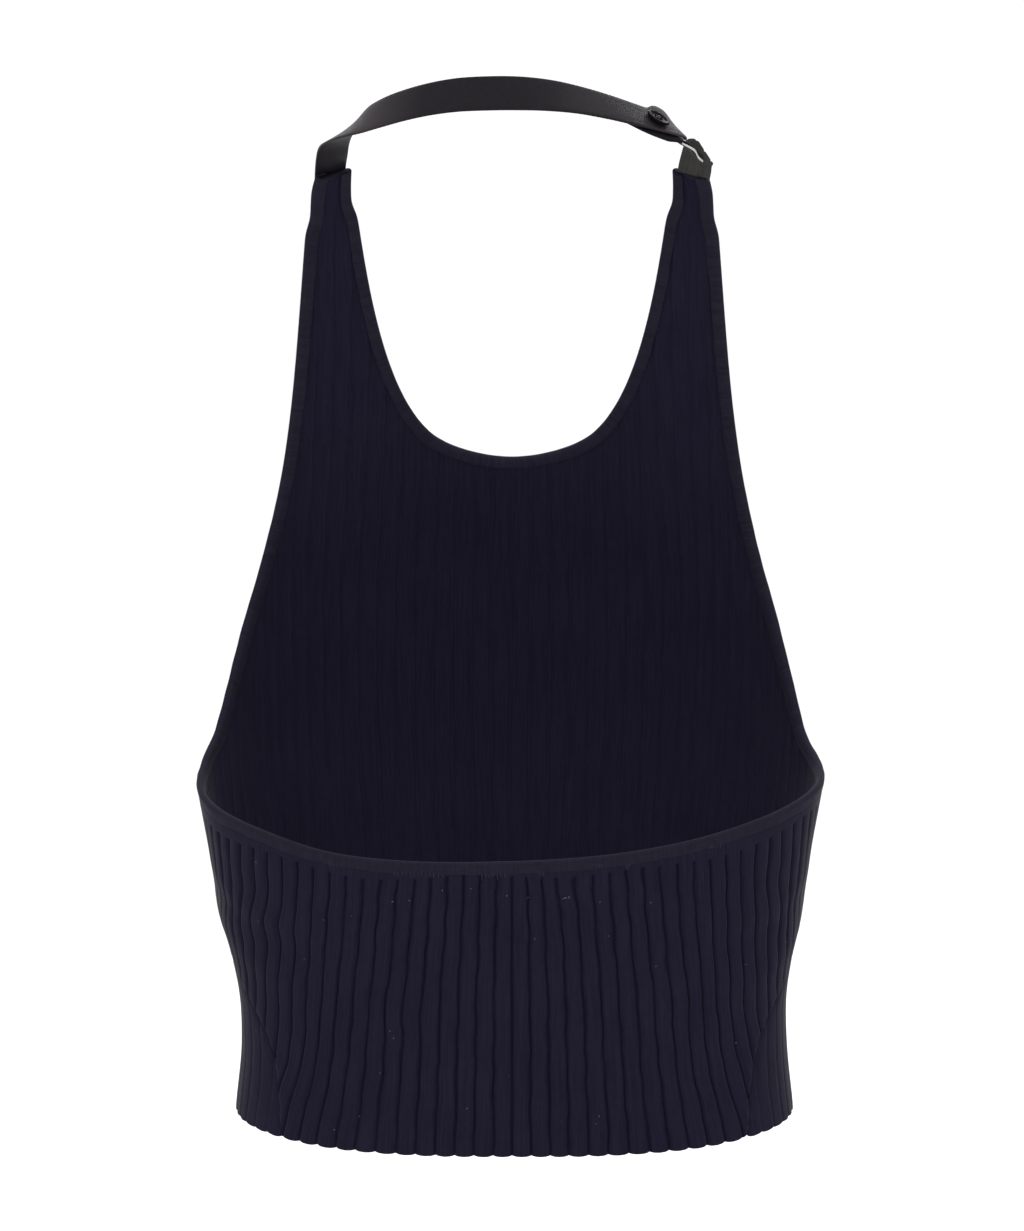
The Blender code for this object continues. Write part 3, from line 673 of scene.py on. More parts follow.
def build_front(material):
    """The front panel with its ribs: one piece below the neckline, two above."""
    half = np.add.outer(np.arange(FRONT_RIB_COUNT), FRONT_PLACES).ravel()
    half = np.append(half, FRONT_RIB_COUNT)
    rib = np.concatenate([-half[::-1], half])[None, :]
    side = np.repeat([-1.0, 1.0], len(half))[None, :]
    heights = np.concatenate([np.linspace(*run) for run in FRONT_ROWS] + [[FRONT_TOP]])
    share = ((heights - heights[0]) / (FRONT_TOP - heights[0]))[:, None]
    angle = np.full(np.broadcast(rib, share).shape, 180.0)
    for _ in range(ROUNDS):
        low = follow(HEM, 1, angle)
        level = low + share * (FRONT_TOP - low)
        place = groove_at(FRONT_RIBS, (), np.abs(rib), level)
        free = girth.angle(girth.length(180.0, level) - place, level)
        free = np.where(rib == 0, 180.0, free)
        limit = np.where(side > 0, outer_limit(1, level), outer_limit(-1, level))
        angle = np.clip(free, limit, np.maximum(inner_limit(level), limit))
    above = level - low
    base = figure(angle * side, level)
    away = np.minimum(near_edge(base, edge_path()), near_edge(base, neckline_path()))
    to_seam = np.where(level > CORNER, 1.0, past_seam(angle, level))
    strength = smooth((away - 0.0030) / 0.0025) * (free == angle)
    strength = strength * (0.22 + 0.78 * smooth((to_seam - 0.022) / 0.035))
    quads = grid(*angle.shape).reshape(len(heights) - 1, -1, 4)
    quads = np.delete(quads, len(half) - 1, axis=1).reshape(-1, 4)
    return panel("front_rib_knit", FRONT_FOLDS, angle * side, level, rib,
                 follow(FRONT_RIBS, 1, level), strength, 0 * strength, away, to_seam, above,
                 quads, material)


# ---------------------------------------------------------------- bindings


def edge_path():
    """Angle and level from the right shoulder down, across the back's top and up the left."""
    across = np.linspace(0.5 - CORNER_ANGLE, CORNER_ANGLE - 0.5, 387)
    angles = np.concatenate([-ARMHOLE[::-1, 0], across, ARMHOLE[:, 0]])
    return angles, np.concatenate([ARMHOLE[::-1, 1], top_level(across), ARMHOLE[:, 1]])


def neckline_path():
    """Angle and level from the left shoulder down round the front's neckline and up again."""
    angles = np.concatenate([NECKLINE[::-1, 0], 360 - NECKLINE[1:, 0]])
    return angles, np.concatenate([NECKLINE[::-1, 1], NECKLINE[1:, 1]])


def resampled(angles, levels, step):
    """The same path with stations a step apart."""
    along = distances(figure(angles, levels))
    at = np.linspace(0, along[-1], int(along[-1] / step) + 1)
    return np.interp(at, along, angles), np.interp(at, along, levels)


def softened(values, width):
    """Values along a path with their corners rounded; the ends stay."""
    reach = int(3 * width)
    weights = np.exp(-((np.arange(-reach, reach + 1) / width) ** 2) / 2)
    first, last = values[:1], values[-1:]
    before = 2 * first - values[reach:0:-1]
    after = 2 * last - values[-2 : -reach - 2 : -1]
    padded = np.concatenate([before, values, after])
    return np.convolve(padded, weights / weights.sum(), "valid")


# Section of a binding: share of its reach down the cloth, height over the cloth's edge, out.
BINDING_SECTION = (
    (1.00, 0.0, 0.00190), (0.99, 0.0, 0.00203), (0.95, 0.0, 0.00210), (0.86, 0.0, 0.00214),
    (0.66, 0.0, 0.00220), (0.46, 0.0, 0.00228), (0.26, 0.0, 0.00236), (0.10, 0.0, 0.00240),
    (0.0, 0.0004, 0.00238), (0.0, 0.0009, 0.00212), (0.0, 0.0013, 0.00158), (0.0, 0.0014, 0.00090),
    (0.0, 0.0013, 0.00022), (0.0, 0.0009, -0.00042), (0.0, 0.0004, -0.00084),
    (0.10, 0.0, -0.00110), (0.50, 0.0, -0.00122), (0.85, 0.0, -0.00118), (0.97, 0.0, -0.00100),
    (1.00, 0.0, -0.00080), (0.98, 0.0, -0.00060), (0.50, 0.0, -0.00056), (0.05, 0.0, -0.00050),
    (0.0, 0.0007, 0.00080), (0.05, 0.0, 0.00168), (0.50, 0.0, 0.00166), (0.90, 0.0, 0.00162),
)


def build_binding(name, path, folds, material):
    """A folded binding over the panels' edge, from its section."""
    path = resampled(*path, BINDING_STEP)
    angles, levels = (softened(values, CORNER_SOFTNESS) for values in path)
    edge, normals = figure(angles, levels), outward(angles, levels)
    down = unit(np.cross(normals, unit(np.gradient(edge, axis=0))))
    along = np.linspace(0, distances(edge)[-1], len(edge))
    uneven = 0.00018 * np.sin(along / 0.0047) * np.sin(along / 0.0131 + 1.0)
    reach = BINDING_REACH + uneven
    depth = folded(folds, angles, levels)
    swell = 0.00005 * np.sin(along / 0.0024) + 0.00006 * np.sin(along / 0.0071 + 2.0)
    rings, around = [], []
    for down_share, up, out in BINDING_SECTION:
        puff = swell * (out > BINDING_FACE) - depth
        if up:
            ring = edge - down * up + normals * (out + puff)[:, None]
        else:
            ring = on_cloth(edge + down * (reach * down_share + 0.0002)[:, None], out + puff)
        rings.append(ring)
        around.append(reach * down_share - up if out > 0.001 else 0.02 - reach * down_share)
    uv = np.stack([np.stack([along] * len(rings), 1), -np.stack(around, 1)], -1)
    return tube(name, np.stack(rings, 1), material, uv)


# ---------------------------------------------------------------- strap, tab, fold and label


def tilted(path, tilt):
    """Normals along a path that tip up from the level by tilt degrees."""
    ahead = unit(np.gradient(path, axis=0))
    out = unit(np.stack([-ahead[:, 1], ahead[:, 0], np.zeros(len(path))], 1))
    up = unit(np.cross(ahead, out))
    lean = np.radians(tilt)[:, None]
    return np.cos(lean) * out + np.sin(lean) * up


def strap_line(start, stop, count):
    """Centres, normals and widths along the neck strap, between two places across it."""
    table = np.array(NECK_PATH)
    along = distances(table[:, :3])
    keyed = np.column_stack([along, table])
    at = np.linspace(*np.interp([start, stop], table[:, 0], along), count)
    rows = rows_at(keyed, at)
    return rows[:, :3], tilted(rows[:, :3], rows[:, 3]), rows[:, 4]


def laid_line():
    """Centres, normals and widths of the strap's left end, laid on the front's end."""
    ends = np.array(SHOULDER_END[::-1])
    mid = (ends[:, :2] + ends[:, 2:]) / 2
    angle, level = front_angle(*mid.T), mid[:, 1]
    normals = outward(angle, level)
    return figure(angle, level) + normals * LAID_LIFT, normals, np.full(len(mid), NECK_PATH[-1][4])


def finer(centres, normals, widths, step):
    """The same line with stations a step apart, as a smooth curve, and how far along they are."""
    along = distances(centres)
    keyed = np.column_stack([along, centres, normals, widths])
    at = np.linspace(0, along[-1], int(along[-1] / step) + 1)
    rows = rows_at(keyed, at)
    return rows[:, :3], unit(rows[:, 3:6]), rows[:, 6], at


def flat_section(places, squareness):
    """A rounded flat section: shares of the half width and of the half thickness."""
    turn = np.linspace(0, 2 * math.pi, places, endpoint=False)
    across = np.sign(np.cos(turn)) * np.abs(np.cos(turn)) ** (2 / squareness)
    out = np.sign(np.sin(turn)) * np.abs(np.sin(turn)) ** (2 / squareness)
    return across, out


def build_ribbon(name, line, wall, places, squareness, material, form):
    """A flat rounded ribbon along a line; form gives each point's place across and its height."""
    centres, normals, widths, along = line
    ahead = unit(np.gradient(centres, axis=0))
    normals = unit(normals - ahead * (normals * ahead).sum(1, keepdims=True))
    down = np.cross(normals, ahead)
    across, out = flat_section(places, squareness)
    low, high = across * widths[:, None] / 2, wall / 2 + out * wall / 2
    low, high = form(low, high, along[:, None], widths[:, None], out)
    points = centres[:, None] + low[..., None] * down[:, None] + high[..., None] * normals[:, None]
    girth_at = np.cumsum(np.hypot(np.diff(across, prepend=across[:1]) * RIBBON_HALF,
                                  np.diff(out, prepend=out[:1]) * wall / 2))
    uv = np.stack(np.broadcast_arrays(along[:, None], girth_at[None, :]), -1)
    return tube(name, points, material, uv)


# Where the strap's upper side rises round the button: along it, half length, out, height.
BULGE_AT, BULGE_HALF, BULGE_OUT, BULGE_RISE = 0.0122, 0.0060, 0.0016, 0.0012


def strap_form(low, high, along, width, out):
    """The strap's slight crown, the line folded along its lower edge and its soft waves."""
    share = low / (width / 2)
    crown = -0.00012 * share**2 * (out > 0)
    fold = -0.00022 * bell(low - width / 2 + 0.0022, 0.00035) * (out > 0)
    near_button = bell(along - 0.020, 0.012)
    wave = 0.00012 * np.sin(along / 0.0062 + 2.0 * share) * (0.4 + 1.2 * near_button)
    edge = 0.00006 * np.sin(along / 0.00031) * np.abs(share) ** 6
    beside = np.exp(-(((along - BULGE_AT) / BULGE_HALF) ** 4)) * smooth(-share)
    low = low * (1 + 0.006 * np.sin(along / 0.011)) - BULGE_OUT * beside
    return low, high + crown + fold * near_button + wave + edge + BULGE_RISE * beside


def build_strap(material):
    pairs = zip(strap_line(NECK_PATH[0][0], NECK_PATH[-1][0], 30), laid_line())
    line = finer(*(np.concatenate(pair) for pair in pairs), 0.0008)
    return build_ribbon("neck_strap_satin", line, STRAP_WALL, 40, 5.0, material, strap_form)


def tab_line():
    """The tab's stations, its face and widths, from under the fold to under the strap."""
    centres, normals, _ = strap_line(-TAB_SHIFT[-1][0], -TAB_SHIFT[0][0], 7)
    down = np.cross(normals, unit(np.gradient(centres, axis=0)))
    shift, width = (follow(TAB_SHIFT, i, -centres[:, 0]) for i in (1, 2))
    under = centres + down * shift[:, None] - normals * (UNDER_GAP + KNIT)
    end = np.array(TAB_END)
    neck_side, outer_side = np.array(FOLD_EDGES[0][:3]), np.array(FOLD_EDGES[0][3:])
    end_face = np.tile(np.cross(outer_side - neck_side, (0.0, -1.0, 0.0)), (len(end), 1))
    path, face = np.concatenate([end[:, :3], under]), unit(np.concatenate([end_face, normals]))
    return path, face, np.concatenate([end[:, 3], width])


def tab_form(low, high, along, width, out):
    """Soft unevenness of the tab's knit."""
    rib = 0.00022 * np.cos(low / 0.00062) * (out > 0)
    return low * (1 + 0.02 * np.sin(along / 0.0021)), high - 0.0001 + 0.5 * rib


def build_tab(material):
    line = finer(*tab_line(), 0.0005)
    return build_ribbon("button_tab_knit", line, KNIT, 36, 4.0, material, tab_form)


def build_label(material):
    """The blank tape sewn to the tab's lower edge, hanging with a slight curl."""
    path, face, width = tab_line()
    count = len(LABEL_DROPS)
    held = slice(LABEL_START, LABEL_START + count)
    down = np.cross(face, unit(np.gradient(path, axis=0)))[held]
    edge = path[held] + down * (width[held, None] / 2 + 0.0003) + face[held] * KNIT * 0.5
    fall = np.array([0.0, 0.1, -1.0]) * np.array(LABEL_DROPS)[:, None]
    away = unit(np.array([-0.3, 1.0, 0.1]))
    stations, places = 25, 9
    share = np.linspace(0, 1, places)[:, None]
    curl = 0.00025 * np.sin(share * math.pi) * away
    back = edge[:, None] + fall[:, None] * share + curl
    at = np.linspace(0, count - 1, stations)
    back = rows_at(numbered(back.reshape(count, -1)), at).reshape(stations, places, 3)
    rings = np.concatenate([back + away * LABEL_WALL, back[:, ::-1]], 1)
    round_it = np.linspace(0, 0.007, 2 * places)
    uv = np.stack(np.broadcast_arrays(at[:, None] * 0.003, round_it), -1)
    return tube("blank_tape_label", rings, material, uv)


def build_fold(material):
    """The knit's doubled end over the right shoulder, with its ribs running to the front."""
    stations = 70
    at = np.linspace(0, len(FOLD_EDGES) - 1, stations)
    neck_side, outer_side = np.split(rows_at(numbered(FOLD_EDGES), at), 2, axis=1)
    ahead = unit(np.gradient(neck_side + outer_side, axis=0))
    up = unit(np.cross(outer_side - neck_side, ahead))[:, None]
    share = 0.5 - 0.5 * np.cos(np.linspace(0, math.pi, 41))
    groove = sum(bell(share - place, 0.028) for place in FOLD_GROOVES)
    height = follow(FOLD_SHAPE, 1, share) - 0.00045 * groove
    rim = np.minimum(share, 1 - share)
    height = 0.0004 + (height - 0.0004) * smooth(rim / 0.02 + 0.15)
    number = np.arange(stations)[:, None]
    ends = smooth(np.minimum(number, stations - 1 - number) / 2.5 + 0.25)
    wobble = 0.00008 * np.sin(at[:, None] * 4.1 + share * 5.0)
    under = neck_side[:, None] + (outer_side - neck_side)[:, None] * share[:, None]
    top = under + up * (height * ends + wobble * ends)[..., None]
    rings = np.concatenate([top, (under + up * 0.0001)[:, ::-1]], 1)
    around = np.concatenate([share, 2 - share]) * FOLD_WIDTH
    uv = np.stack(np.broadcast_arrays(around, at[:, None] * 0.0055), -1)
    return tube("shoulder_fold_knit", rings, material, uv)


# ---------------------------------------------------------------- button

# Half outline of the button: radius, height over its seat.
BUTTON_OUTLINE = (
    (0.0043, 0.00005), (0.0048, 0.00015), (0.00522, 0.00038), (0.00542, 0.00060),
    (0.00545, 0.00082), (0.00532, 0.00104), (0.0051, 0.00118), (0.0047, 0.00125),
    (0.0043, 0.00122), (0.0040, 0.00110), (0.0037, 0.00092), (0.0034, 0.00076), (0.0029, 0.00066),
    (0.0020, 0.00062),
)
HOLE_AT = 0.00105  # from the button's middle to the middle of a hole
HOLE_RADIUS = 0.00042
HOLES = ((1, 1), (-1, 1), (-1, -1), (1, -1))  # which way each is from the middle
BUTTON_SIDES, HOLE_SIDES = 96, 16
BUTTON_DROP = 0.0006  # below the strap's centre line
BUTTON_LEAN = (0.0, -0.12, 0.0)  # its thread lets it tip a little forward


def on_button(points):
    """Points given on the button's own axes, at its place on the strap."""
    seat, face, _ = strap_line(-BUTTON_ACROSS, -BUTTON_ACROSS + 0.0060, 3)
    face = unit(face[0])
    side = unit(np.cross(face, (0.0, 0.0, 1.0)))
    seat = seat[0] + face * (STRAP_WALL + 0.0005) - np.cross(side, face) * BUTTON_DROP
    face = unit(face + BUTTON_LEAN)
    side = unit(np.cross(face, (0.0, 0.0, 1.0)))
    return seat + points @ np.array([side, np.cross(side, face), face])


def build_button(material):
    """A turned button with a raised rim and four holes through its recess."""
    turns = np.arange(BUTTON_SIDES) * 2 * math.pi / BUTTON_SIDES
    points = [(radius * math.cos(a), radius * math.sin(a), height)
              for radius, height in BUTTON_OUTLINE for a in turns]
    faces = [tuple(f) for f in grid(len(BUTTON_OUTLINE), BUTTON_SIDES, closed=True)[:, ::-1]]
    above = dished_disc(points, faces, len(BUTTON_OUTLINE) - 1, False)
    below = dished_disc(points, faces, 0, True)
    for top, low in zip(above, below):
        for k in range(HOLE_SIDES):
            after = (k + 1) % HOLE_SIDES
            faces.append((top[k], top[after], low[after], low[k]))
    points = np.array(points)
    return add("button_turned", on_button(points), faces, material, points[:, :2])


def dished_disc(points, faces, ring, flipped):
    """Fills a ring of the button with a face that has round holes; returns the holes' points."""
    radius, height = BUTTON_OUTLINE[ring]
    centre = len(points)
    points.append((0.0, 0.0, height))
    loops = []
    for x, y in HOLES:
        loops.append(range(len(points), len(points) + HOLE_SIDES))
        for k in range(HOLE_SIDES):
            a = math.atan2(y, x) + math.pi + k * 2 * math.pi / HOLE_SIDES
            points.append((x * HOLE_AT / math.sqrt(2) + HOLE_RADIUS * math.cos(a),
                           y * HOLE_AT / math.sqrt(2) + HOLE_RADIUS * math.sin(a),
                           height - 0.00003))
    spokes, quarter = len(points), BUTTON_SIDES // len(HOLES)
    for index in range(len(HOLES)):
        a = index * math.pi / 2
        points.append((radius * 0.5 * math.cos(a), radius * 0.5 * math.sin(a), height))
    for index, loop in enumerate(loops):
        arc = [ring * BUTTON_SIDES + (index * quarter + i) % BUTTON_SIDES
               for i in range(quarter + 1)]
        border = [centre, spokes + index, *arc, spokes + (index + 1) % len(HOLES)]
        faces_between(points, faces, loop, border, flipped)
    return loops


def faces_between(points, faces, loop, border, flipped):
    """Triangles between a hole's loop and the border round it, matched by direction."""
    cx = sum(points[i][0] for i in loop) / len(loop)
    cy = sum(points[i][1] for i in loop) / len(loop)

    def direction(i):
        return math.atan2(points[i][1] - cy, points[i][0] - cx) % (2 * math.pi)

    inner, outer = sorted(loop, key=direction), sorted(border, key=direction)
    a, b, n, m = 0, 0, len(inner), len(outer)
    while a < n or b < m:
        turn_a = direction(inner[(a + 1) % n]) + (2 * math.pi if a + 1 >= n else 0)
        turn_b = direction(outer[(b + 1) % m]) + (2 * math.pi if b + 1 >= m else 0)
        if b < m and (a >= n or turn_b <= turn_a):
            face = (inner[a % n], outer[b % m], outer[(b + 1) % m])
            b += 1
        else:
            face = (inner[a % n], outer[b % m], inner[(a + 1) % n])
            a += 1
        faces.append(face[::-1] if flipped else face)


def build_thread(material):
    """The thread through the button's holes: two crossed stitches of several turns."""
    points, faces = [], []
    steps, places = 15, 8
    share = np.linspace(0, 1, steps)
    arch = np.sin(math.pi * share)
    turn = np.add.outer(share * 9, np.arange(places) * 2 * math.pi / places)[..., None]
    for sign in (1, -1):
        ahead = unit(np.array([1.0, sign, 0.0]))
        across = np.array([-ahead[1], ahead[0], 0.0])
        height = 0.0004 + 0.00085 * arch**0.5 + 0.00022 * (sign > 0) * arch
        for strand in (-1, 0, 1):
            line = np.outer((2 * share - 1) * HOLE_AT, ahead)
            line += np.outer(0.00017 * strand * (0.5 + 0.5 * arch), across)
            line[:, 2] = height
            ring = np.cos(turn) * across + np.sin(turn) * (0.0, 0.0, 1.0)
            faces += tube_faces(steps, places, len(points))
            points += list((line[:, None] + ring * 0.00014).reshape(-1, 3))
    points = np.array(points)
    return add("button_thread", on_button(points), faces, material, points[:, :2] * 3)


# ---------------------------------------------------------------- stitches and lint

# Loose stitches below the back's top: middle and half width round the cloth, spacing, top, length.
STITCHES = (
    (0.0385, 0.0100, 0.0017, 0.0024, 0.0026),
    (0.0069, 0.0047, 0.0016, 0.0028, 0.0033),
    (-0.0131, 0.0012, 0.0012, 0.0022, 0.0024),
    (-0.0375, 0.0015, 0.0012, 0.0008, 0.0020),
    (-0.0500, 0.0008, 0.0014, 0.0030, 0.0022),
    (0.0760, 0.0016, 0.0015, 0.0020, 0.0022),
    (-0.0890, 0.0024, 0.0016, 0.0026, 0.0024),
)
# Lint seen on the back: distance round the cloth, level, length, lean from upright.
LINT = (
    (0.0164, -0.3357, 0.0007, 60),
    (0.0286, -0.3366, 0.0008, 10),
    (0.0013, -0.3388, 0.0009, 20),
    (-0.0103, -0.3582, 0.0010, 70),
    (-0.0233, -0.3401, 0.0022, 75),
    (-0.0251, -0.3396, 0.0014, 20),
    (0.1150, -0.3290, 0.0013, 85),
    (-0.0620, -0.3720, 0.0009, 30),
    (0.0530, -0.4010, 0.0008, 80),
)
# Scattered lint: distance to each side of the centre line, lowest and highest level.
LINT_BACK, LINT_FRONT = (0.19, -0.446, -0.335), (0.13, -0.435, -0.200)
LINT_COUNT, LINT_LENGTHS = 34, (0.0004, 0.0011)


def fibres(name, rows, radius, material, bow=0.12):
    """Short bent fibres on the cloth: angle, level, length, lean and height of each, joined."""
    steps, places = 5, 6
    share = np.linspace(-0.5, 0.5, steps)
    points, faces = [], []
    for angle, level, length, lean, out in rows:
        normal = outward(angle, level)
        side = unit(np.cross((0.0, 0.0, 1.0), normal))
        up = np.cross(normal, side)
        lean = math.radians(lean)
        along = side * math.sin(lean) + up * math.cos(lean)
        off = np.cross(normal, along)
        curve = bow * length * (1 - 4 * share**2)
        dip = radius * (1 - 2.2 * np.abs(2 * share) ** 3)
        path = figure(angle, level) + np.outer(share * length, along) + np.outer(curve, off)
        path = path + np.outer(out + dip, normal)
        thick = radius * (1 - 0.6 * (2 * np.abs(share)) ** 2)
        turn = np.arange(places) * 2 * math.pi / places
        ring = np.cos(turn)[:, None] * off + np.sin(turn)[:, None] * normal
        faces += tube_faces(steps, places, len(points))
        points += list((path[:, None] + thick[:, None, None] * ring).reshape(-1, 3))
    points = np.array(points)
    return add(name, points, faces, material, points[:, [0, 2]])


def build_stitches(material):
    rng = np.random.default_rng(11)
    rows = []
    for middle, half, spacing, top, length in STITCHES:
        for along in np.arange(middle - half, middle + half + spacing / 2, spacing):
            along = along + rng.uniform(-0.0002, 0.0002)
            rough = float(girth.angle(along, -0.325))
            long = length * rng.uniform(0.6, 1.1)
            level = float(top_level(rough)) - top - long / 2 - rng.uniform(0, 0.0006)
            angle = float(girth.angle(along, level))
            lift = CROWN - 0.00003 if top + long / 2 > BINDING_REACH else CROWN + 0.00012
            rows.append((angle, level, long, rng.uniform(-6, 6), lift))
    return fibres("binding_stitches", rows, 0.00012, material, 0.04)


def scattered(rng, half, low, high):
    """A random place: distance round the cloth from its centre line, and level."""
    return rng.uniform(-half, half), rng.uniform(low, high)


def build_lint(material):
    """Pale lint: the specks that show on the back, and others scattered all round."""
    rng = np.random.default_rng(5)
    rows = [(float(girth.angle(row[0], row[1])), *row[1:]) for row in LINT]
    for _ in range(LINT_COUNT):
        along, level = scattered(rng, *LINT_BACK)
        angle = float(girth.angle(along, level))
        if abs(angle) < follow(SEAM, 1, level) - 2:
            rows.append((angle, level, rng.uniform(*LINT_LENGTHS), rng.uniform(0, 180)))
    for _ in range(LINT_COUNT):
        along, level = scattered(rng, *LINT_FRONT)
        angle = float(girth.angle(float(girth.length(180.0, level)) - abs(along), level))
        angle = angle * np.sign(along)
        rows.append((angle, level, rng.uniform(*LINT_LENGTHS), rng.uniform(0, 180)))
    for i, row in enumerate(rows):
        folds = BACK_FOLDS if abs(row[0]) < CORNER_ANGLE else FRONT_FOLDS
        fold = float(folded(folds, np.array(row[0]), np.array(row[1])))
        rows[i] = (*row, CROWN + 0.00003 - fold)
    return fibres("lint_fibres", rows, 0.00011, material)


# ---------------------------------------------------------------- materials


class Value:
    """A node's output; arithmetic with it adds Math nodes to its material."""

    def __init__(self, finish, socket):
        self.finish, self.socket = finish, socket

    def __add__(self, other):
        return self.finish.math("ADD", self, other)

    def __sub__(self, other):
        return self.finish.math("SUBTRACT", self, other)

    def __mul__(self, other):
        return self.finish.math("MULTIPLY", self, other)

    def __truediv__(self, other):
        return self.finish.math("DIVIDE", self, other)


class Finish:
    """A node material with the Principled shader and short ways to add nodes to it."""

    def __init__(self, name, roughness, **sockets):
        self.material = bpy.data.materials.new(name)
        self.material.use_nodes = True
        self.tree = self.material.node_tree
        self.surface = self.tree.nodes["Principled BSDF"]
        self.surface.inputs["Roughness"].default_value = roughness
        for key, value in sockets.items():
            self.surface.inputs[key.replace("_", " ")].default_value = value

    def node(self, kind, inputs=(), output=0, **settings):
        node = self.tree.nodes.new(kind)
        for key, value in settings.items():
            setattr(node, key, value)
        for socket, value in dict(inputs).items():
            if isinstance(value, Value):
                self.tree.links.new(value.socket, node.inputs[socket])
            else:
                node.inputs[socket].default_value = value
        return Value(self, node.outputs[output])

    def math(self, operation, a, b=0.0, clamp=False):
        return self.node("ShaderNodeMath", {0: a, 1: b}, operation=operation, use_clamp=clamp)

    def sine(self, value):
        return self.math("SINE", value)

    def cloth(self):
        """Places on the cloth in millimetres: along or across, up, and both as a vector."""
        place = self.node("ShaderNodeUVMap", uv_map="cloth")
        across = self.node("ShaderNodeSeparateXYZ", {0: place}, 0) * 1000.0
        up = self.node("ShaderNodeSeparateXYZ", {0: place}, 1) * 1000.0
        return across, up, self.join(across, up)

    def noise(self, place, scale, detail=2.0, roughness=0.55):
        return self.node("ShaderNodeTexNoise", {"Vector": place, "Scale": scale, "Detail": detail,
                                                "Roughness": roughness})

    def join(self, x, y):
        return self.node("ShaderNodeCombineXYZ", {0: x, 1: y})

    def spread(self, value, low, high, start=0.0, end=1.0):
        return self.node("ShaderNodeMapRange", {0: value, 1: low, 2: high, 3: start, 4: end})

    def colour(self, factor, dark, light, over=None, pale=None):
        mix = self.node("ShaderNodeMix", {0: factor, 6: (*dark, 1), 7: (*light, 1)}, 2,
                        data_type="RGBA")
        if over is not None:
            mix = self.node("ShaderNodeMix", {0: over, 6: mix, 7: (*pale, 1)}, 2,
                            data_type="RGBA")
        self.set("Base Color", mix)

    def set(self, socket, value):
        self.tree.links.new(value.socket, self.surface.inputs[socket])

    def bump(self, height, distance, strength=1.0):
        self.set("Normal", self.node("ShaderNodeBump", {"Height": height, "Distance": distance,
                                                        "Strength": strength}))


PAINTED_RIM_SHEEN = (0.052, 0.050, 0.056)  # painted rim sheen: the colour the knit turns towards where the cloth turns away from view


def knit_finish(name, dark, light, wale, course, sheen, calm=False):
    """Fine knit: stitches as rows of small Vs, with fuzz over them and a painted rim sheen."""
    finish = Finish(name, 0.92, Sheen_Weight=sheen, Sheen_Roughness=0.25,
                    Sheen_Tint=(0.72, 0.72, 0.86, 1.0), Specular_IOR_Level=0.06)
    across, up, place = finish.cloth()
    wales = finish.math("FRACT", across / wale)
    vee = finish.math("ABSOLUTE", wales - 0.5)
    stitch = finish.sine((up / course + vee * 1.3) * (2 * math.pi))
    fine = finish.noise(finish.join(across * 1.9, up * 0.42), 1.0, 3.0, 0.6)
    streaks = finish.noise(finish.join(across * 1.1, up * 0.032), 1.0, 3.0)
    fuzz = finish.noise(place, 5.5, 2.0, 0.7)
    blotch, broad = finish.noise(place, 0.23), finish.noise(place, 0.035)
    height = stitch * 0.25 + finish.sine(wales * math.pi) + fuzz + fine * 0.8
    finish.bump(height, 0.00012, 0.8)
    tone = 0.10
    for layer, low, high, share in ((streaks, 0.36, 0.62, 0.40), (fine, 0.40, 0.70, 0.16),
                                    (fuzz, 0.42, 0.75, 0.14), (blotch, 0.35, 0.68, 0.14),
                                    (broad, 0.3, 0.7, 0.14)):
        tone = finish.spread(layer, low, high) * share + tone
    # Painted shade: the colour darkens in the grooves and bent groove tops, by how deep in them
    # each point is, with a ragged edge.
    sunk = finish.node("ShaderNodeAttribute", (), "Fac", attribute_name="sunk")
    ragged_groove_shade = finish.noise(finish.join(across * 1.3, up), 1.1, 3.0, 0.7)
    ragged_groove_shade = finish.spread(sunk + finish.spread(ragged_groove_shade, 0.3, 0.7, -0.22, 0.22), 0.25, 0.85)
    tone = finish.math("SUBTRACT", tone, ragged_groove_shade * 0.50, clamp=True)
    # Painted rim sheen: the colour lightens where the cloth turns away from view, but not in the
    # grooves.
    facing = {"Blend": 0.5}
    if calm:
        facing["Normal"] = finish.node("ShaderNodeAttribute", (), "Vector", attribute_name="calm")
    facing = finish.node("ShaderNodeLayerWeight", facing, "Facing")
    painted_sheen_share = finish.spread(facing, 0.62, 0.97) * finish.math("SUBTRACT", 1.0, sunk, clamp=True)
    finish.colour(tone, dark, light, painted_sheen_share * painted_sheen_share, PAINTED_RIM_SHEEN)
    return finish.material


def strap_finish():
    """Smooth satin-like jersey with a fine close weave, its colour lightened towards both ends as
    painted sheen.
    """
    finish = Finish("charcoal_satin_jersey", 0.42, Specular_IOR_Level=0.10)
    across, up, place = finish.cloth()
    warp = finish.sine(up * (2 * math.pi / 0.34))
    weft = finish.sine(across * (2 * math.pi / 0.30))
    grain = finish.noise(place, 2.6, 3.0, 0.65)
    finish.bump(warp * weft + grain, 0.00002, 0.6)
    finish.set("Roughness", finish.spread(grain, 0.3, 0.7, 0.38, 0.5))
    cloud = finish.spread(finish.noise(place, 0.5, 3.0), 0.35, 0.7)
    # Painted sheen: the strap's colour lightens towards both ends, where they turn up towards the
    # light.
    buttoned_end_sheen = finish.spread(across, 4.0, 42.0, 1.0, 0.0)
    other_end_sheen = finish.spread(across, 122.0, 148.0, 0.0, 0.5)
    other_end_sheen = other_end_sheen * finish.spread(across, 152.0, 172.0, 1.0, 0.0)
    painted_end_sheen = buttoned_end_sheen * buttoned_end_sheen + other_end_sheen
    finish.colour(cloud, (0.0052, 0.0040, 0.0062), (0.0078, 0.0060, 0.0086),
                  painted_end_sheen, (0.0345, 0.0285, 0.0335))
    return finish.material


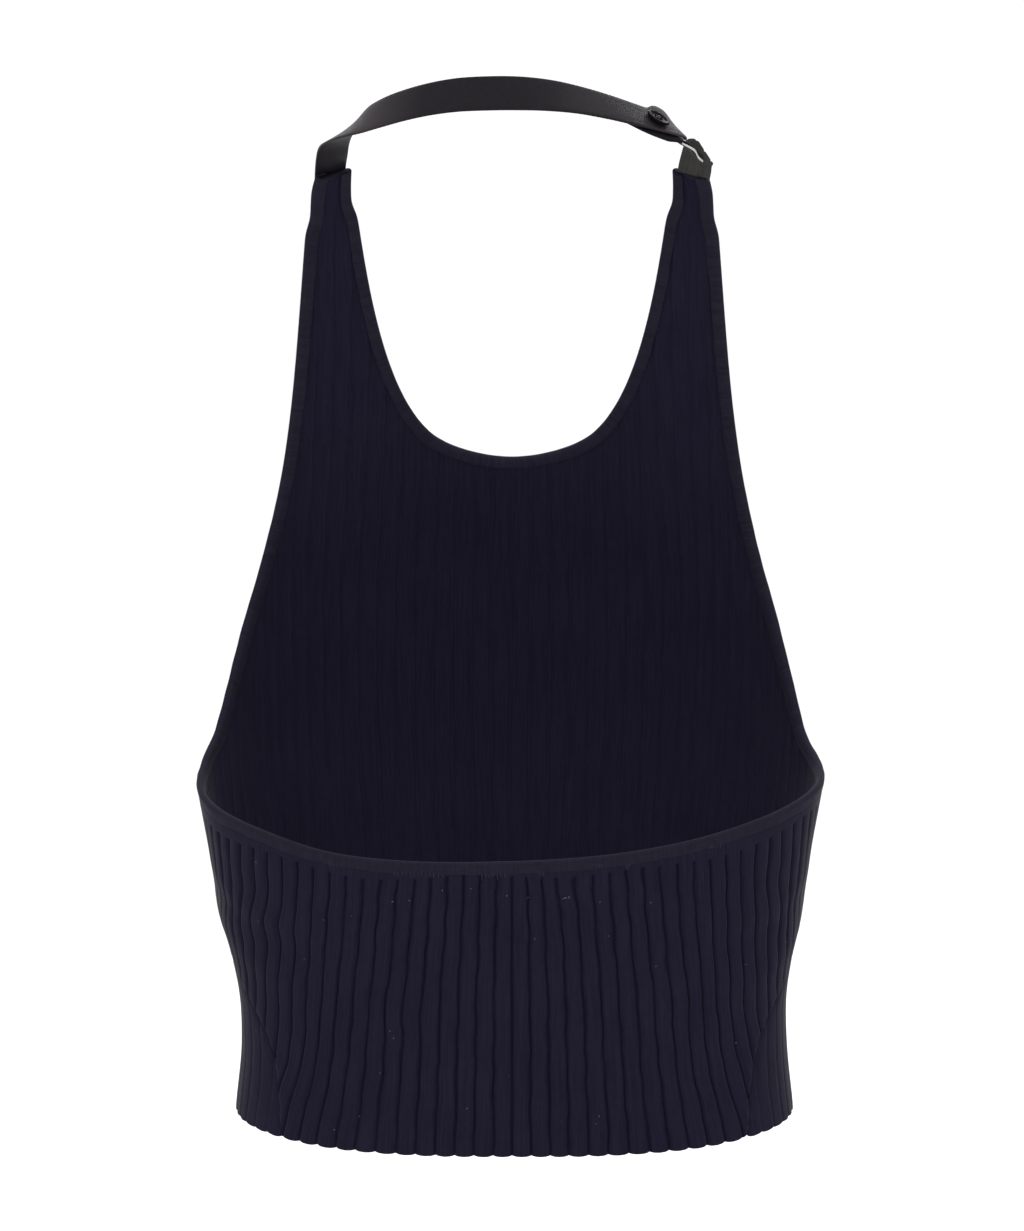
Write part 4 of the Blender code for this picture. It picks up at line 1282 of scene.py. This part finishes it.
def button_finish():
    """Black moulded plastic with a few fine scuffs."""
    finish = Finish("black_button_plastic", 0.20, Specular_IOR_Level=0.010)
    place = finish.node("ShaderNodeTexCoord", (), "Object")
    mark = finish.noise(place, 900.0, 4.0, 0.7)
    cloud = finish.spread(finish.noise(place, 260.0), 0.35, 0.7)
    finish.set("Roughness", finish.spread(mark, 0.35, 0.75, 0.12, 0.34))
    finish.colour(cloud, (0.0028, 0.0026, 0.0032), (0.0060, 0.0056, 0.0066))
    finish.bump(mark, 0.00002, 0.35)
    return finish.material


def label_finish():
    """White woven tape, coloured mid grey as painted shade."""
    finish = Finish("white_woven_tape", 0.75, Sheen_Weight=0.2, Specular_IOR_Level=0.35)
    across, up, place = finish.cloth()
    finish.bump(finish.sine(across * 13.0) * finish.sine(up * 15.0), 0.00005, 0.7)
    finish.colour(finish.noise(place, 1.6, 3.0), (0.36, 0.36, 0.355), (0.46, 0.46, 0.45))
    return finish.material


def thread_finish():
    """Twisted sewing thread."""
    finish = Finish("grey_black_thread", 0.6, Sheen_Weight=0.3, Specular_IOR_Level=0.4)
    across, up, _ = finish.cloth()
    twist = finish.sine((across + up) * 9.0)
    finish.bump(twist, 0.00003, 0.6)
    finish.colour(finish.spread(twist, -1.0, 1.0), (0.016, 0.015, 0.018), (0.05, 0.048, 0.052))
    return finish.material


def fibre_finish(name, pale):
    """Loose fibre or thread, uneven in tone."""
    finish = Finish(name, 0.8, Sheen_Weight=0.1, Specular_IOR_Level=0.1)
    cloud = finish.noise(finish.cloth()[2], 1.7)
    finish.bump(cloud, 0.00002, 0.5)
    finish.colour(finish.spread(cloud, 0.3, 0.7), tuple(0.55 * c for c in pale), pale)
    return finish.material


def floor_finish():
    """Pale studio floor, faintly uneven."""
    finish = Finish("pale_floor", 0.85, Specular_IOR_Level=0.2)
    place = finish.node("ShaderNodeTexCoord", (), "Object")
    finish.colour(finish.noise(place, 1.3), (0.955, 0.955, 0.955), (0.965, 0.965, 0.965))
    return finish.material


# ---------------------------------------------------------------- the object

knit = knit_finish("black_rib_knit", (0.0050, 0.0042, 0.0120), (0.0113, 0.0098, 0.0208), 0.95,
                   0.80, 0.05, True)
edging = knit_finish("black_binding_knit", (0.0055, 0.0046, 0.0110), (0.0160, 0.0140, 0.0240),
                     0.80, 0.70, 0.02)
# Painted light: the doubled end is the same black knit, given a lighter grey copy for its lit top.
lit_fold_knit = knit_finish("doubled_knit_painted_light", (0.0190, 0.0186, 0.0176), (0.0440, 0.0430, 0.0410),
                        0.80, 0.70, 0.02)
# Painted shade: the tab under the strap is the same black knit, given a darker copy for the shade
# it lies in.
shaded_tab_knit = knit_finish("tab_knit_painted_shade", (0.0036, 0.0032, 0.0044),
                          (0.0105, 0.0095, 0.0125), 0.80, 0.70, 0.02)
satin = strap_finish()

back = build_back(knit)
front = build_front(knit)
edge = build_binding("edge_binding_knit", edge_path(), BACK_FOLDS, edging)
neckline = build_binding("neckline_binding_knit", neckline_path(), (), edging)
strap = build_strap(satin)
tab = build_tab(shaded_tab_knit)
fold = build_fold(lit_fold_knit)
label = build_label(label_finish())
button = build_button(button_finish())
thread = build_thread(thread_finish())
stitches = build_stitches(fibre_finish("pale_stitch_thread", (0.030, 0.028, 0.038)))
lint = build_lint(fibre_finish("pale_lint", (0.17, 0.165, 0.20)))

for piece, node, place in (
    (back, "back_panel", "rib_knit"),
    (front, "front_panel", "rib_knit"),
    (edge, "edge_binding", "binding_knit"),
    (neckline, "neckline_binding", "binding_knit"),
    (strap, "neck_strap", "strap_satin"),
    (tab, "button_tab", "binding_knit"),
    (fold, "shoulder_fold", "binding_knit"),
    (label, "blank_label", "label_tape"),
    (button, "button", "button_plastic"),
):
    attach(piece, "root")
    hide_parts(node)
for extra, place in ((thread, "binding_knit"), (stitches, "binding_knit"), (lint, "rib_knit")):
    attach(extra, "root")

# ---------------------------------------------------------------- studio


FLOOR_HALF, FLOOR_LEVEL = 60.0, -0.80
AMBIENT = 1.05  # strength of the white world
# The camera: focal length in millimetres, place, degrees up from looking straight down.
FOCAL, CAMERA_PLACE, CAMERA_TILT = 137.6, (0.0, 2.0, -0.015), 84.1
# Area lights: name, place, where each points, width and height, power.
LIGHTS = (
    ("key", (-0.9, 1.9, 0.9), (0, 0, -0.25), (1.0, 1.2), 10.0),
    ("fill", (1.1, 1.7, 0.5), (0, 0, -0.25), (1.0, 1.2), 7.0),
    ("top", (0.0, -0.1, 1.5), (0, 0, -0.2), (1.6, 1.0), 22.0),
    ("rim_top", (0.0, -1.7, 1.1), (0, 0, -0.1), (1.6, 0.6), 14.0),
)


def add_floor():
    mesh = bpy.data.meshes.new("studio_floor")
    corners = [(x * FLOOR_HALF, y * FLOOR_HALF, FLOOR_LEVEL)
               for x, y in ((-1, -1), (1, -1), (1, 1), (-1, 1))]
    mesh.from_pydata(corners, [], [(0, 1, 2, 3)])
    mesh.materials.append(floor_finish())
    floor = bpy.data.objects.new("studio_floor", mesh)
    bpy.context.scene.collection.objects.link(floor)


def add_light(name, place, target, size, power):
    light = bpy.data.lights.new(name, "AREA")
    light.shape, light.size, light.size_y = "RECTANGLE", *size
    light.energy = power
    thing = bpy.data.objects.new(name, light)
    thing.location = place
    away = mathutils.Vector(target) - mathutils.Vector(place)
    thing.rotation_euler = away.to_track_quat("-Z", "Y").to_euler()
    bpy.context.scene.collection.objects.link(thing)


def add_studio():
    scene = bpy.context.scene
    scene.view_settings.view_transform = "Standard"
    add_floor()
    for light in LIGHTS:
        add_light(*light)
    world = bpy.data.worlds.new("studio")
    world.use_nodes = True
    background = world.node_tree.nodes["Background"].inputs
    background["Color"].default_value = (1, 1, 1, 1)
    background["Strength"].default_value = AMBIENT
    scene.world = world
    lens = bpy.data.cameras.new("camera")
    lens.lens = FOCAL
    camera = bpy.data.objects.new("camera", lens)
    camera.location = CAMERA_PLACE
    camera.rotation_euler = (math.radians(CAMERA_TILT), 0.0, math.pi)
    scene.collection.objects.link(camera)
    scene.camera = camera


add_studio()
